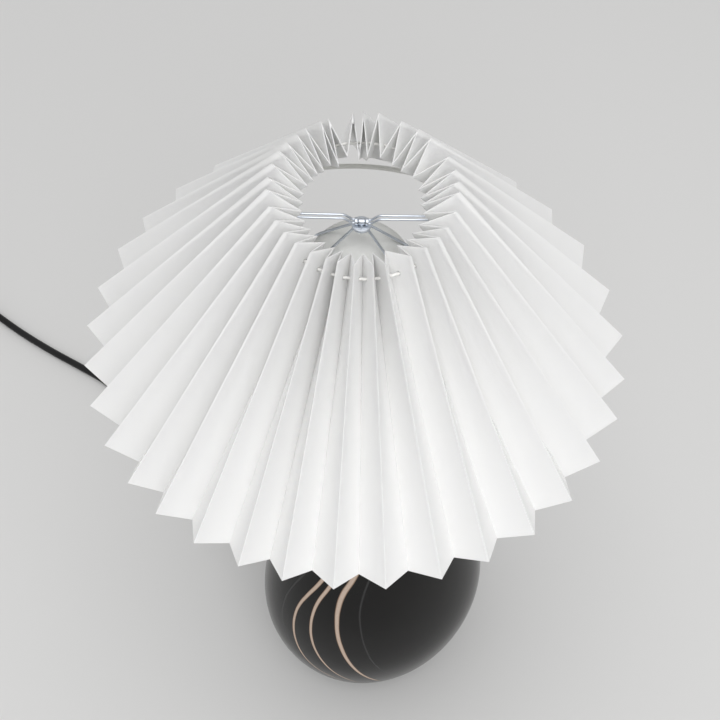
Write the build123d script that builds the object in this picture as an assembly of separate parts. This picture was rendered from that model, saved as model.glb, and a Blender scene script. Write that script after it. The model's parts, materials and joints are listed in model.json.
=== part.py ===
"""Pleated paper table lamp: hollow glazed ceramic base, lamp holder, bulb, spring clip and paper shade.

Frame: millimetres, +Z up. The origin is on the table, under the axis of the neck and the lamp holder.
-Y is the front, where the three pale stripes are, and the cord leaves at the back left.
The bulb's round glass carries the clip, and the clip carries the shade. Both sit a little askew on the
glass, so they are built upright in the bulb's own frame and then leaned about the centre of its glass.
"""

import os
from math import atan2, cos, degrees, pi, radians, sin, sqrt, tan

from build123d import *

# ---- ceramic base -------------------------------------------------------------------------------
FELT_T = 2.0                # felt under the foot
NECK_TOP_Z = 352.0          # top of the neck above the table
BELLY_Z = 85.0              # height of the widest section
BELLY_A = 85.0              # half length of the widest section, which is oval in plan
BELLY_B = 75.0              # half width of the widest section
BELLY_TURN = 36.0           # degrees from +X to the long axis of the oval
BELLY_SHIFT = 6.2           # the belly stands this far to +X of the neck
NECK_R = 20.0
FOOT_SHARE = 0.54           # size of the foot next to the belly
FOOT_CURVE = 1.65           # how full the wall curves in from the belly to the foot
CERAMIC_T = 5.0
NECK_ROOF_T = 6.0
FELT_INSET = 1.5

# ---- metalwork between the neck and the lamp holder ----------------------------------------------
GASKET_T = 1.0
NECK_CAP_R = 23.0
NECK_CAP_T = 5.0
TUBE_R = 5.0                # threaded tube, 10 mm thread
TUBE_WALL = 1.3
TUBE_FIT = 0.3              # free play of the tube in the holes that it passes
NUT_ACROSS = 15.0
NUT_T = 4.0
WASHER_R = 12.0
WASHER_T = 1.5
TUBE_BELOW = 12.0           # how far the tube reaches below the neck's roof
TUBE_IN_HOLDER = 7.0        # how far it reaches into the holder

# ---- lamp holder for a 27 mm screw cap ------------------------------------------------------------
HOLDER_R = 20.0
HOLDER_WALL = 1.8
HOLDER_CAP_H = 26.0
HOLDER_H = 58.0
HOLDER_FLOOR_R = 15.0
CORE_T = 9.0
CORE_FIT = 0.3
SLEEVE_WALL = 0.5
SLEEVE_FIT = 0.35           # free play between the bulb's cap and the sleeve
TONGUE_T = 0.7
TERMINAL_R = 1.6

# ---- bulb -----------------------------------------------------------------------------------------
GLASS_R = 30.0              # round part of the glass
GLASS_T = 0.9
GLASS_NECK_R = 12.0
GLASS_SHOULDER = 125.0      # degrees from the top of the glass to where it narrows to the neck
BULB_H = 101.0
CAP_R = 13.1
CAP_T = 0.4
CAP_H = 20.0
CAP_WAVE = 0.7              # depth of the cap's rounded thread
CAP_PITCH = 3.6
INSULATOR_H = 4.0
CONTACT_R = 4.6
CONTACT_H = 2.0
STEM_R = 3.0
FILAMENTS = 4
FILAMENT_R = 0.9
FILAMENT_LOW_R = 7.0        # distance of the filaments' lower ends from the axis
FILAMENT_HIGH_R = 10.0      # the same for their upper ends
FILAMENT_TWIST = 0.5        # turn from the lower to the upper end, in radians
LEAD_WIRE_R = 0.3
WELD_FIT = 0.1              # the lead wires stop this far from glass and filament
FILAMENT_L = 29.0           # height of a filament, up to the wires on top of the stem
STEM_TOP = -6.0             # top of the stem, from the centre of the glass

# ---- spring clip ----------------------------------------------------------------------------------
SHADE_LEAN = 2.3            # degrees that the clip and shade lean to +X
CLIP_WIRE_R = 0.7
CLIP_GAP = 0.35             # between the clip's wires and the glass
CLIP_SPREAD = 24.3          # degrees from a loop's middle to each of its legs, seen from above
CLIP_TURN = -5.7            # degrees that the clip is turned on the glass
CLIP_LEAVE = 48.63          # degrees from the top of the glass to where a leg leaves it
RING_R = 4.8
RING_T = 1.6
RING_RISE = 13.0            # underside of the ring above the top of the glass
LEG_INSET = 2.0             # the legs end this far inside the ring's edge
STEM_PIN_R = 1.2
RUN_FIT = 0.08              # running clearance of the swivel and of the axle
BARREL_R = 1.6
BARREL_L = 3.2
AXLE_R = 0.8
AXLE_GAP = 0.3              # between the barrel and each ferrule
AXLE_RISE = 16.5            # axle above the top of the glass
FERRULE_R = 1.9
FERRULE_L = 1.6

# ---- shade ----------------------------------------------------------------------------------------
HEM_BELOW_BULB = 59.0       # plane of the hem's outer folds below the centre of the glass
HEM_R = 150.0               # circle of the outer folds at the hem
TOP_R = 46.3                # the same at the gathered top
TOP_SWELL = 2.1             # the gathered top stands out this far at the very back
SWELL_SPREAD = 22.5         # degrees each way over which that dies away
TOP_RISE = 131.8            # from the hem's circle up to the top's circle
PLEAT_W = 20.5              # width of the paper between two folds
PAPER_T = 0.45
FOLD_STEPS = 4              # flat pieces along each panel, which twists from the hem to the top
# The pleats are gathered by hand, so each takes its own share of the round: whole degrees, starting
# at the back left and going round by the front.
HEM_SHARES = (11, 11, 10, 11, 10, 10, 10, 10, 10, 9, 10, 10, 9, 10, 10, 11, 10,
              11, 11, 11, 11, 10, 11, 12, 13, 12, 11, 11, 11, 10, 11, 11, 10, 11)
TOP_SHARES = (7, 9, 8, 11, 11, 9, 13, 11, 10, 10, 11, 10, 7, 10, 11, 7, 16,
              11, 11, 9, 13, 15, 8, 9, 11, 18, 10, 12, 15, 9, 6, 16, 5, 11)
HEM_START = -143.0          # first outer fold at the hem, in degrees from the front towards +X
TOP_START = -140.0          # the same at the top
STRING_R = 0.7
STRING_RING_R = 42.0
STRING_RISE = 115.5         # above the hem's circle
HOLE_R = 1.2                # punched holes that the string runs through
CARRIER_WIRE_R = 0.6
CARRIER_HALF_GAP = 1.15     # half the distance between the two strands
CARRIER_RISE = 109.0        # above the hem's circle
CARRIER_PAST_FOLD = 3.0     # the bent end reaches this far past the inner fold
CARRIER_STRAIGHT = 1.2      # each strand runs straight this far out of the ferrule
CARRIER_CLIMB = 4.0         # and then climbs to its height over this run
CARRIER_BENDS = (2.0, 4.0)  # radii of the bends below and above the climb
SLOT_FIT = 0.3
HOOP_WIRE_R = 1.5
HOOP_RISE = -2.0            # hoop above the hem's circle
HOOP_FIT = 0.3

# ---- cord, switch and plug --------------------------------------------------------------------------
CORD_R = 3.0
CORD_FIT = 0.1
EXIT_DEG = 140.5            # direction in which the cord leaves, from +X towards +Y
EXIT_Z = 12.0
SLEEVE_OUT = 26.0           # tapered rubber sleeve outside the wall
SLEEVE_IN = 4.0
SLEEVE_R = 5.2
SLEEVE_TIP_R = 3.9
SLEEVE_COLLAR_R = 6.8
LEAD_OUT = 22.0             # the cord runs on straight this far from the sleeve
LEAD_POINTS = ((-104.0, 85.8, 8.6), (-128.0, 105.2, 4.4), (-153.0, 126.0, 3.05), (-181.0, 151.0, 3.05),
               (-210.0, 183.0, 3.05), (-237.0, 210.5, 3.05), (-265.0, 226.5, 3.05), (-296.0, 243.3, 3.05),
               (-329.0, 263.8, 3.05), (-357.0, 284.0, 3.6), (-377.0, 298.0, 6.2))
SWITCH_AT = (-440.0, 318.0) # middle of the switch on the table
SWITCH_DEG = 170.0          # direction of the cord through it, from +X towards +Y
SWITCH_LEAD = 14.0          # straight cord before and after the switch
SWITCH_GRIP = 6.0           # length of cord inside each end of the switch
SWITCH_SPLIT_Z = 9.6        # height of the seam between the halves, and of the cord there
SWITCH_L = 62.0
SWITCH_W = 27.0
SWITCH_H = 19.0
SWITCH_WALL = 1.8
SWITCH_CORNER_R = 9.0
SWITCH_POST_R = 3.0         # posts round the housing's screws
ROCKER_R = 9.0
ROCKER_W = 10.0
ROCKER_TILT = 9.0
ROCKER_DIP = 3.6            # middle of the rocker above its pin
ROCKER_DEEP = 2.5           # rocker below its pin
ROCKER_FIT = 0.35
SWITCH_PIN_R = 1.0
TABLE_FIT = 0.05            # the cord lies this far above the table
COIL_FROM_SWITCH = 58.0     # from the end of the switch to the coil's first turn
COIL_MID_R = 33.0           # middle of the turns
COIL_PITCH = 6.7            # from turn to turn, and from layer to layer
COIL_TURNS = 5.5
COIL_LAYER = 6.55
PLUG_L = 36.0
PLUG_W = 35.0
PLUG_T = 14.0
PIN_R = 2.0
PIN_L = 19.0
PIN_ROOT = 6.0              # length of a pin inside the plug
PIN_SPACING = 18.6
RELIEF_L = 26.0

# ---- places worked out from the sizes above -----------------------------------------------------------
GASKET_Z = NECK_TOP_Z
NECK_CAP_Z = GASKET_Z + GASKET_T
LOCK_NUT_Z = NECK_CAP_Z + NECK_CAP_T
HOLDER_Z = LOCK_NUT_Z + NUT_T
SKIRT_Z = HOLDER_Z + HOLDER_CAP_H
HOLDER_TOP_Z = HOLDER_Z + HOLDER_H
CORE_Z = SKIRT_Z
SLEEVE_Z = CORE_Z + CORE_T
CONTACT_Z = SLEEVE_Z + TONGUE_T + 0.3
CAP_Z = CONTACT_Z + CONTACT_H + INSULATOR_H
BULB_TOP_Z = CONTACT_Z + BULB_H
GLASS_Z = BULB_TOP_Z - GLASS_R
FOLDS = len(HEM_SHARES)


def disc(radius, height, z=0.0, bore=0.0):
    """Round plate or ring standing on height z."""
    plate = Pos(0, 0, z + height / 2) * Cylinder(radius, height)
    if bore:
        plate -= Pos(0, 0, z + height / 2) * Cylinder(bore, height + 1)
    return plate


def turned(*points):
    """Solid turned about Z from corners given as (radius, height)."""
    outline = Polyline([(r, 0, z) for r, z in points], close=True)
    return revolve(make_face(outline), Axis.Z)


def rod(start, end, radius):
    """Straight round rod between two points."""
    line = Line(start, end)
    return sweep(Plane(origin=start, z_dir=line % 0) * Circle(radius), path=line)


def wire_along(path, radius):
    """Round wire along a path."""
    return sweep(Plane(origin=path @ 0, z_dir=path % 0) * Circle(radius), path=path)


def fused(parts):
    """One solid from touching parts."""
    whole = parts[0]
    for part in parts[1:]:
        whole = whole + part
    return whole


def group(parts):
    """Separate solids that share one node."""
    return Compound(children=[solid for part in parts for solid in part.solids()])


# ---- ceramic base ---------------------------------------------------------------------------------

def belly_share(z):
    """Size of the base at a height, from the foot's share at the felt up to 1 at the belly."""
    if z <= BELLY_Z:
        low = (BELLY_Z - z) / (BELLY_Z - FELT_T)
        return FOOT_SHARE + (1 - FOOT_SHARE) * (1 - low ** FOOT_CURVE) ** 0.5
    high = (z - BELLY_Z) / (NECK_TOP_Z - BELLY_Z)
    return 0.5 + 0.5 * cos(pi * high ** 0.9)


def oval_at(z, inset=0.0):
    """Half axes and shift of the base's oval at a height: below the belly it shrinks, above it turns round."""
    share = belly_share(z)
    if z <= BELLY_Z:
        return BELLY_A * share - inset, BELLY_B * share - inset, BELLY_SHIFT
    half_a = NECK_R + (BELLY_A - NECK_R) * share
    half_b = NECK_R + (BELLY_B - NECK_R) * share
    return half_a - inset, half_b - inset, BELLY_SHIFT * share


def oval_face(z, inset=0.0, at=None):
    """Oval section of the base, drawn at its own height or at another one."""
    half_a, half_b, shift = oval_at(z, inset)
    height = z if at is None else at
    return Pos(shift, 0, height) * Rot(0, 0, BELLY_TURN) * Ellipse(half_a, half_b)


def section_heights(bottom, top):
    """Heights of the sections, closer where the foot curves in."""
    low = [FELT_T + (BELLY_Z - FELT_T) * k for k in (0.0, 0.08, 0.25, 0.55)]
    high = [BELLY_Z + (NECK_TOP_Z - BELLY_Z) * k for k in (0.0, 0.18, 0.36, 0.54, 0.70, 0.84, 0.94)]
    middle = [z for z in low + high if bottom + 1 < z < top - 1]
    return [bottom] + middle + [top]


def ceramic_body():
    """Hollow stoneware base, open under the foot, with a hole in its roof and one for the cord."""
    outside = loft([oval_face(z) for z in section_heights(FELT_T, NECK_TOP_Z)])
    roof_z = NECK_TOP_Z - NECK_ROOF_T
    inside = loft([oval_face(z, CERAMIC_T) for z in section_heights(FELT_T, roof_z)])
    tube_hole = disc(TUBE_R + TUBE_FIT, NECK_ROOF_T + 2, roof_z - 1)
    cord_hole = exit_frame() * Pos(0, 0, -20) * Cylinder(SLEEVE_R + CORD_FIT, 60)
    return outside - inside - tube_hole - cord_hole


def base_felt():
    """Felt glued under the foot; it closes the open underside."""
    return extrude(oval_face(FELT_T, FELT_INSET, at=0.0), FELT_T)


# ---- cord exit --------------------------------------------------------------------------------------

def exit_reach(inset=0.0, z=EXIT_Z):
    """Distance from the axis to the base's wall in the direction of the cord."""
    half_a, half_b, shift = oval_at(z, inset)
    turn = radians(BELLY_TURN)
    way = radians(EXIT_DEG)
    ux, uy = cos(way - turn), sin(way - turn)
    sx, sy = -shift * cos(turn), shift * sin(turn)
    a = (ux / half_a) ** 2 + (uy / half_b) ** 2
    b = 2 * (ux * sx / half_a ** 2 + uy * sy / half_b ** 2)
    c = (sx / half_a) ** 2 + (sy / half_b) ** 2 - 1
    return (-b + sqrt(b * b - 4 * a * c)) / (2 * a)


def exit_point(reach, z=EXIT_Z):
    """Point on the line along which the cord leaves."""
    way = radians(EXIT_DEG)
    return Vector(reach * cos(way), reach * sin(way), z)


def exit_frame():
    """Frame at the outside of the wall, its Z axis pointing out along the cord."""
    way = radians(EXIT_DEG)
    return Plane(origin=exit_point(exit_reach()), z_dir=(cos(way), sin(way), 0)).location


def sleeve_seat():
    """Inner face of the wall at the collar's lowest point, measured from the outside of the wall."""
    return exit_reach(CERAMIC_T, EXIT_Z - SLEEVE_COLLAR_R) - exit_reach() - CORD_FIT


def cord_sleeve():
    """Tapered rubber sleeve in the wall, with an inner collar that stops it from pulling out."""
    bore = CORD_R + CORD_FIT
    seat = sleeve_seat()
    profile = turned((bore, seat - SLEEVE_IN), (SLEEVE_COLLAR_R, seat - SLEEVE_IN), (SLEEVE_COLLAR_R, seat),
                     (SLEEVE_R, seat), (SLEEVE_R, 4.0), (SLEEVE_TIP_R, SLEEVE_OUT), (bore, SLEEVE_OUT))
    return exit_frame() * profile


def sleeve_tip():
    """Point where the cord comes out of the sleeve."""
    return exit_point(exit_reach() + SLEEVE_OUT)


# ---- neck metalwork ---------------------------------------------------------------------------------

def neck_gasket():
    """Thin rubber ring between the glaze and the metal cap."""
    return disc(NECK_R - 1, GASKET_T, GASKET_Z, TUBE_R + TUBE_FIT)


def neck_cap():
    """Black metal cap that hides the neck's rim."""
    bore = TUBE_R + TUBE_FIT
    z, top = NECK_CAP_Z, LOCK_NUT_Z
    return turned((bore, z), (NECK_CAP_R, z), (NECK_CAP_R, z + 2), (NECK_CAP_R - 1.5, z + 3.2),
                  (WASHER_R, top), (bore, top))


def threaded_tube():
    """Hollow threaded tube that clamps the holder to the neck; the cord runs through it."""
    bottom = NECK_TOP_Z - NECK_ROOF_T - TUBE_BELOW
    top = HOLDER_Z + TUBE_IN_HOLDER
    return disc(TUBE_R, top - bottom, bottom, TUBE_R - TUBE_WALL)


def hex_nut(z):
    """Six-sided nut on the threaded tube."""
    nut = extrude(Pos(0, 0, z) * RegularPolygon(NUT_ACROSS / 2, 6, major_radius=False), NUT_T)
    return nut - disc(TUBE_R + CORD_FIT, NUT_T + 2, z - 1)


def tube_nuts():
    """Lock nut above the cap and clamping nut inside the neck."""
    return group([hex_nut(LOCK_NUT_Z), hex_nut(NECK_TOP_Z - NECK_ROOF_T - WASHER_T - NUT_T)])


def neck_washer():
    """Steel washer under the neck's roof."""
    return disc(WASHER_R, WASHER_T, NECK_TOP_Z - NECK_ROOF_T - WASHER_T, TUBE_R + TUBE_FIT)


# ---- lamp holder --------------------------------------------------------------------------------------

def holder_cap():
    """Lower shell of the holder, screwed on the tube."""
    bore = TUBE_R + CORD_FIT
    z, top, wall = HOLDER_Z, SKIRT_Z, HOLDER_WALL
    return turned((bore, z), (HOLDER_FLOOR_R, z), (HOLDER_R - 1, z + 9), (HOLDER_R, z + 14), (HOLDER_R, top),
                  (HOLDER_R - wall, top), (HOLDER_R - wall, z + 14.5), (HOLDER_FLOOR_R - wall, z + 3),
                  (bore + 3, z + 3), (bore + 3, z + TUBE_IN_HOLDER), (bore, z + TUBE_IN_HOLDER))


def holder_skirt():
    """Upper shell of the holder, round the bulb's cap."""
    z, top, inner = SKIRT_Z, HOLDER_TOP_Z, HOLDER_R - HOLDER_WALL
    return turned((inner, z), (HOLDER_R, z), (HOLDER_R, top - 1), (HOLDER_R - 0.8, top), (inner, top))


def terminal_spots():
    """Places of the two terminal screws, across the core."""
    return [(-11.5, 0), (11.5, 0)]


def fixing_spots():
    """Places of the two screws that hold the core."""
    return [(0, -12.0), (0, 12.0)]


def holder_core():
    """Insulating core that carries the contacts and the sleeve."""
    core = disc(HOLDER_R - HOLDER_WALL - CORE_FIT, CORE_T, CORE_Z)
    for x, y in terminal_spots() + fixing_spots():
        core -= Pos(x, y, CORE_Z) * Cylinder(TERMINAL_R + CORD_FIT, CORE_T)
    return core


def screw(x, y, head_z, length):
    """Small cheese-head screw, head down, its shank going up."""
    head = Pos(x, y, head_z - 1) * Cylinder(TERMINAL_R + 1.2, 2)
    slot = Pos(x, y, head_z - 2) * Box(8, 0.8, 1.4)
    shank = Pos(x, y, head_z + length / 2) * Cylinder(TERMINAL_R, length)
    return head - slot + shank


def terminal_screws():
    """Brass screws that clamp the two conductors."""
    return group([screw(x, y, CORE_Z, CORE_T / 2 - 0.2) for x, y in terminal_spots()])


def core_screws():
    """Steel screws that hold the core."""
    return group([screw(x, y, CORE_Z, CORE_T / 2 - 0.2) for x, y in fixing_spots()])


def thread_sleeve():
    """Plated sleeve that takes the bulb's thread."""
    inner = CAP_R + SLEEVE_FIT
    return disc(inner + SLEEVE_WALL, HOLDER_TOP_Z - SLEEVE_Z - 2, SLEEVE_Z, inner)


def centre_contact():
    """Springy tongue under the bulb's tip."""
    return Pos(0, 0, SLEEVE_Z + TONGUE_T / 2) * Box(2 * CONTACT_R + 6, 6, TONGUE_T)


# ---- bulb ---------------------------------------------------------------------------------------------

def glass_outline(inset):
    """Half section of the glass, from its mouth in the cap to its top, as (radius, height) points."""
    radius = GLASS_R - inset
    turn = radians(GLASS_SHOULDER)
    shoulder = (radius * sin(turn), GLASS_Z + radius * cos(turn))
    neck_r = GLASS_NECK_R - inset
    corner_z = shoulder[1] - (shoulder[0] - neck_r) * tan(pi - turn)
    mouth_z = CAP_Z + 8
    middle = radians(GLASS_SHOULDER / 2)
    belly = (radius * sin(middle), GLASS_Z + radius * cos(middle))
    return (neck_r, mouth_z), (neck_r, corner_z), shoulder, belly, (0.0, GLASS_Z + radius), mouth_z


def glass_solid(inset):
    """Solid of the glass at a given inset from its outside."""
    mouth, corner, shoulder, belly, top, mouth_z = glass_outline(inset)
    flat = [Vector(r, 0, z) for r, z in (mouth, corner, shoulder, belly, top)]
    lines = FilletPolyline(flat[0], flat[1], flat[2], radius=[12.0])
    dome = ThreePointArc(flat[2], flat[3], flat[4])
    close = Polyline(flat[4], Vector(0, 0, mouth_z), flat[0])
    return revolve(make_face(Wire([*lines.edges(), *dome.edges(), *close.edges()])), Axis.Z)


def bulb_glass():
    """Frosted glass envelope."""
    return glass_solid(0.0) - glass_solid(GLASS_T)


def bulb_cap():
    """Metal screw cap with a rounded thread."""
    waves = int((CAP_H - 4) / CAP_PITCH)
    outer = [(CAP_R - CAP_WAVE, CAP_Z)]
    for wave in range(waves):
        z = CAP_Z + 2 + wave * CAP_PITCH
        outer += [(CAP_R - CAP_WAVE, z), (CAP_R, z + CAP_PITCH * 0.3), (CAP_R, z + CAP_PITCH * 0.6)]
    outer += [(CAP_R - CAP_WAVE, CAP_Z + CAP_H - 1.5), (CAP_R + 0.1, CAP_Z + CAP_H)]
    inner = [(GLASS_NECK_R + 0.05, CAP_Z + CAP_H), (GLASS_NECK_R + 0.05, CAP_Z)]
    return turned(*outer, *inner)


def bulb_insulator():
    """Dark glass cone between the cap and its tip."""
    z = CONTACT_Z + CONTACT_H
    wide = CAP_R - CAP_WAVE
    return turned((0, z), (CONTACT_R + 0.6, z), (wide, CAP_Z - 0.6), (wide, CAP_Z), (0, CAP_Z))


def bulb_contact():
    """Tip contact of the bulb."""
    z = CONTACT_Z
    return turned((0, z), (CONTACT_R - 1.6, z), (CONTACT_R, z + CONTACT_H - 0.6), (CONTACT_R, z + CONTACT_H),
                  (0, z + CONTACT_H))


def bulb_stem():
    """Glass stem that closes the envelope and carries the filaments."""
    z, top = CAP_Z, GLASS_Z + STEM_TOP
    flare = GLASS_NECK_R - GLASS_T - 0.2
    return turned((0, z), (flare, z), (flare, z + 10), (STEM_R + 1, z + 18), (STEM_R, z + 24),
                  (STEM_R, top - 6), (STEM_R + 1, top - 3), (STEM_R, top), (0, top))


def wire_hub():
    """Point on top of the stem where the upper wires meet."""
    return Vector(0, 0, GLASS_Z + STEM_TOP + LEAD_WIRE_R + WELD_FIT)


def filament_ends(turn):
    """Lower and upper end of one filament."""
    high_turn = turn + FILAMENT_TWIST
    top_z = wire_hub().Z
    low = Vector(FILAMENT_LOW_R * cos(turn), FILAMENT_LOW_R * sin(turn), top_z - FILAMENT_L)
    high = Vector(FILAMENT_HIGH_R * cos(high_turn), FILAMENT_HIGH_R * sin(high_turn), top_z)
    return low, high


def bulb_filaments():
    """Yellow filament sticks."""
    ends = [filament_ends(2 * pi * k / FILAMENTS) for k in range(FILAMENTS)]
    return group([rod(low, high, FILAMENT_R) for low, high in ends])


def filament_wires():
    """Wires from the stem to both ends of each filament."""
    hub = wire_hub()
    stop = FILAMENT_R + WELD_FIT
    low_wires = []
    high_wires = [Pos(hub) * Sphere(LEAD_WIRE_R)]
    for k in range(FILAMENTS):
        low, high = filament_ends(2 * pi * k / FILAMENTS)
        out = Vector(low.X, low.Y, 0).normalized()
        low_wires.append(rod(low - out * (FILAMENT_LOW_R - STEM_R - WELD_FIT), low - out * stop, LEAD_WIRE_R))
        way = (high - hub).normalized()
        high_wires.append(rod(hub, high - way * stop, LEAD_WIRE_R))
    return group([fused(high_wires), *low_wires])


# ---- spring clip, in the bulb's frame: origin at the centre of the glass --------------------------------

def leaned(part):
    """Place a part of the clip or shade: leaned about the centre of the glass."""
    return Pos(0, 0, GLASS_Z) * Rot(0, SHADE_LEAN, 0) * part


def on_sphere(radius, polar, azimuth):
    """Point at an angle from the top of the glass, in a direction from +X, both in degrees."""
    tilt, way = radians(polar), radians(azimuth)
    return Vector(radius * sin(tilt) * cos(way), radius * sin(tilt) * sin(way), radius * cos(tilt))


def clip_loop_path(side):
    """One spring loop: two straight legs, then arcs on the glass that meet below at its equator.

    The closing arc is a small circle that touches the equator and both legs' planes.
    """
    radius = GLASS_R + CLIP_GAP + CLIP_WIRE_R
    half = radians(CLIP_SPREAD)
    centre_polar = atan2(1.0, sin(half))
    arc_polar = pi / 2 - centre_polar
    touch = degrees(atan2(sqrt(cos(arc_polar) ** 2 - cos(centre_polar) ** 2), cos(centre_polar)))
    middle_deg = CLIP_TURN if side > 0 else 180 + CLIP_TURN
    legs = []
    for way in (middle_deg - CLIP_SPREAD, middle_deg + CLIP_SPREAD):
        leave = on_sphere(radius, CLIP_LEAVE, way)
        reach = RING_R - LEG_INSET
        rise = (radius * sin(radians(CLIP_LEAVE)) - reach) * tan(radians(CLIP_LEAVE))
        start = on_sphere(reach, 90, way) + Vector(0, 0, leave.Z + rise)
        halfway = on_sphere(radius, (CLIP_LEAVE + touch) / 2, way)
        legs.append((start, leave, halfway, on_sphere(radius, touch, way)))
    bottom = on_sphere(radius, 90, middle_deg)
    first, last = legs
    edges = [Edge.make_line(first[0], first[1]), Edge.make_three_point_arc(first[1], first[2], first[3]),
             Edge.make_three_point_arc(first[3], bottom, last[3]),
             Edge.make_three_point_arc(last[3], last[2], last[1]), Edge.make_line(last[1], last[0])]
    return Wire(edges)


def clip_loop(side):
    """Spring wire loop that grips one side of the glass."""
    return leaned(wire_along(clip_loop_path(side), CLIP_WIRE_R))


def ring_z():
    """Underside of the clip's ring above the centre of the glass."""
    return GLASS_R + RING_RISE


def clip_ring():
    """Steel ring in which the four legs are held; the swivel pin turns in it."""
    ring = disc(RING_R, RING_T, ring_z(), STEM_PIN_R + RUN_FIT)
    for side in (-1, 1):
        ring -= wire_along(clip_loop_path(side), CLIP_WIRE_R + 0.05)
    return leaned(ring)


def clip_barrel():
    """Short barrel for the shade's axle, on a pin that turns in the ring."""
    axle_z = GLASS_R + AXLE_RISE
    barrel = Pos(0, 0, axle_z) * Rot(0, 90, 0) * Cylinder(BARREL_R, BARREL_L)
    head_z = ring_z() - RUN_FIT - 0.8
    pin = disc(STEM_PIN_R, axle_z - head_z, head_z)
    head = disc(STEM_PIN_R + 1, 0.8, head_z)
    bore = Pos(0, 0, axle_z) * Rot(0, 90, 0) * Cylinder(AXLE_R + RUN_FIT, BARREL_L + 1)
    return leaned(barrel + pin + head - bore)


def carrier_axle():
    """Axle of the shade with a ferrule at each end for the wire strands."""
    half = BARREL_L / 2 + AXLE_GAP
    axle = Rot(0, 90, 0) * Cylinder(AXLE_R, 2 * half)
    ends = [Pos(side * (half + FERRULE_L / 2), 0, 0) * Rot(0, 90, 0) * Cylinder(FERRULE_R, FERRULE_L)
            for side in (-1, 1)]
    return leaned(Pos(0, 0, GLASS_R + AXLE_RISE) * fused([axle, *ends]))


# ---- pleated shade, in the shade's frame: origin at the centre of the hem's circle ---------------------------

def shaded(part):
    """Place a part that is drawn from the centre of the hem's circle."""
    return leaned(Pos(0, 0, -HEM_BELOW_BULB) * part)


def round_point(turn, radius, z):
    """Point at an angle in degrees from the front towards +X."""
    return Vector(radius * sin(radians(turn)), -radius * cos(radians(turn)), z)


def fold_angles(shares, start):
    """Angles of the outer folds from each pleat's share of the round."""
    whole = sum(shares)
    return [start + 360 * sum(shares[:k]) / whole for k in range(len(shares))]


def wall_slope():
    """Direction down and in, square to the shade's wall, as parts along the radius and along Z."""
    run, rise = HEM_R - TOP_R, TOP_RISE
    length = sqrt(run ** 2 + rise ** 2)
    return rise / length, run / length


def inner_fold(left, right, radius, z):
    """Inner fold between two outer folds: as deep as the paper's width allows."""
    half = radians((right - left) / 2)
    depth = sqrt(PLEAT_W ** 2 - (radius * sin(half)) ** 2)
    inward, down = wall_slope()
    return round_point((left + right) / 2, radius * cos(half) - depth * inward, z - depth * down)


def top_radius(turn):
    """Radius of the gathered top at an angle in degrees, a little larger at the back."""
    off = abs((turn + 360) % 360 - 180)
    return TOP_R + TOP_SWELL * cos(radians(90 * min(off / SWELL_SPREAD, 1)))


def fold_lines():
    """All folds in order round the shade, outer and inner in turn, each as (hem point, top point)."""
    hem = fold_angles(HEM_SHARES, HEM_START)
    top = fold_angles(TOP_SHARES, TOP_START)
    lines = []
    for k in range(FOLDS):
        next_hem = hem[k + 1] if k + 1 < FOLDS else hem[0] + 360
        next_top = top[k + 1] if k + 1 < FOLDS else top[0] + 360
        middle = top_radius((top[k] + next_top) / 2)
        lines.append((round_point(hem[k], HEM_R, 0), round_point(top[k], top_radius(top[k]), TOP_RISE)))
        lines.append((inner_fold(hem[k], next_hem, HEM_R, 0), inner_fold(top[k], next_top, middle, TOP_RISE)))
    return lines


def fold_ring(lines, step):
    """Points of all folds at one step between the hem and the top."""
    return [hem + (top - hem) * (step / FOLD_STEPS) for hem, top in lines]


def paper_inside(before, here, after, along):
    """The same fold's corner on the inner side of the paper, one thickness in from both panels."""
    first = (here - before).cross(along).normalized()
    second = (after - here).cross(along).normalized()
    push = second.cross(along) + along.cross(first)
    return here - push * (PAPER_T / first.dot(second.cross(along)))


def band(ring, next_ring, flip=False):
    """Triangles between two rings of points, facing out, or in if flipped."""
    faces = []
    for k in range(len(ring)):
        after = (k + 1) % len(ring)
        for corners in ([ring[k], ring[after], next_ring[after]], [ring[k], next_ring[after], next_ring[k]]):
            faces.append(Face(Wire.make_polygon(corners[::-1] if flip else corners)))
    return faces


def pleated_paper():
    """The folded paper as one closed solid with its real thickness."""
    lines = fold_lines()
    ways = [(top - hem).normalized() for hem, top in lines]
    outer = [fold_ring(lines, step) for step in range(FOLD_STEPS + 1)]
    inner = []
    for ring in outer:
        count = len(ring)
        inner.append([paper_inside(ring[k - 1], ring[k], ring[(k + 1) % count], ways[k]) for k in range(count)])
    faces = band(inner[0], outer[0]) + band(outer[-1], inner[-1])
    for step in range(FOLD_STEPS):
        faces += band(outer[step], outer[step + 1])
        faces += band(inner[step], inner[step + 1], flip=True)
    return Solid(Shell(faces))


def inner_fold_at(turn, z):
    """The inner fold nearest to a direction: its point at a height, on the outside of the paper."""
    lines = fold_lines()[1::2]
    points = [hem + (top - hem) * ((z - hem.Z) / (top.Z - hem.Z)) for hem, top in lines]
    aim = round_point(turn, 1, z)
    return max(points, key=lambda p: (p.X * aim.X + p.Y * aim.Y) / sqrt(p.X ** 2 + p.Y ** 2))


def carrier_turn(side):
    """Direction of a carrier's wires, which run to the nearest inner fold, and how far off that fold is."""
    fold = inner_fold_at(90 * side, CARRIER_RISE)
    return degrees(atan2(fold.Y, fold.X * side)) * side, sqrt(fold.X ** 2 + fold.Y ** 2)


def carrier_slot(side):
    """Slot through an inner fold for the bent end of a carrier."""
    turn, reach = carrier_turn(side)
    half_height = CARRIER_WIRE_R + SLOT_FIT
    half_width = CARRIER_HALF_GAP + CARRIER_WIRE_R + SLOT_FIT
    length = CARRIER_PAST_FOLD + 4 * SLOT_FIT + 4
    slot = Pos(side * (reach - 4 + length / 2), 0, CARRIER_RISE) * Box(length, 2 * half_width, 2 * half_height)
    return Rot(0, 0, turn) * slot


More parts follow.
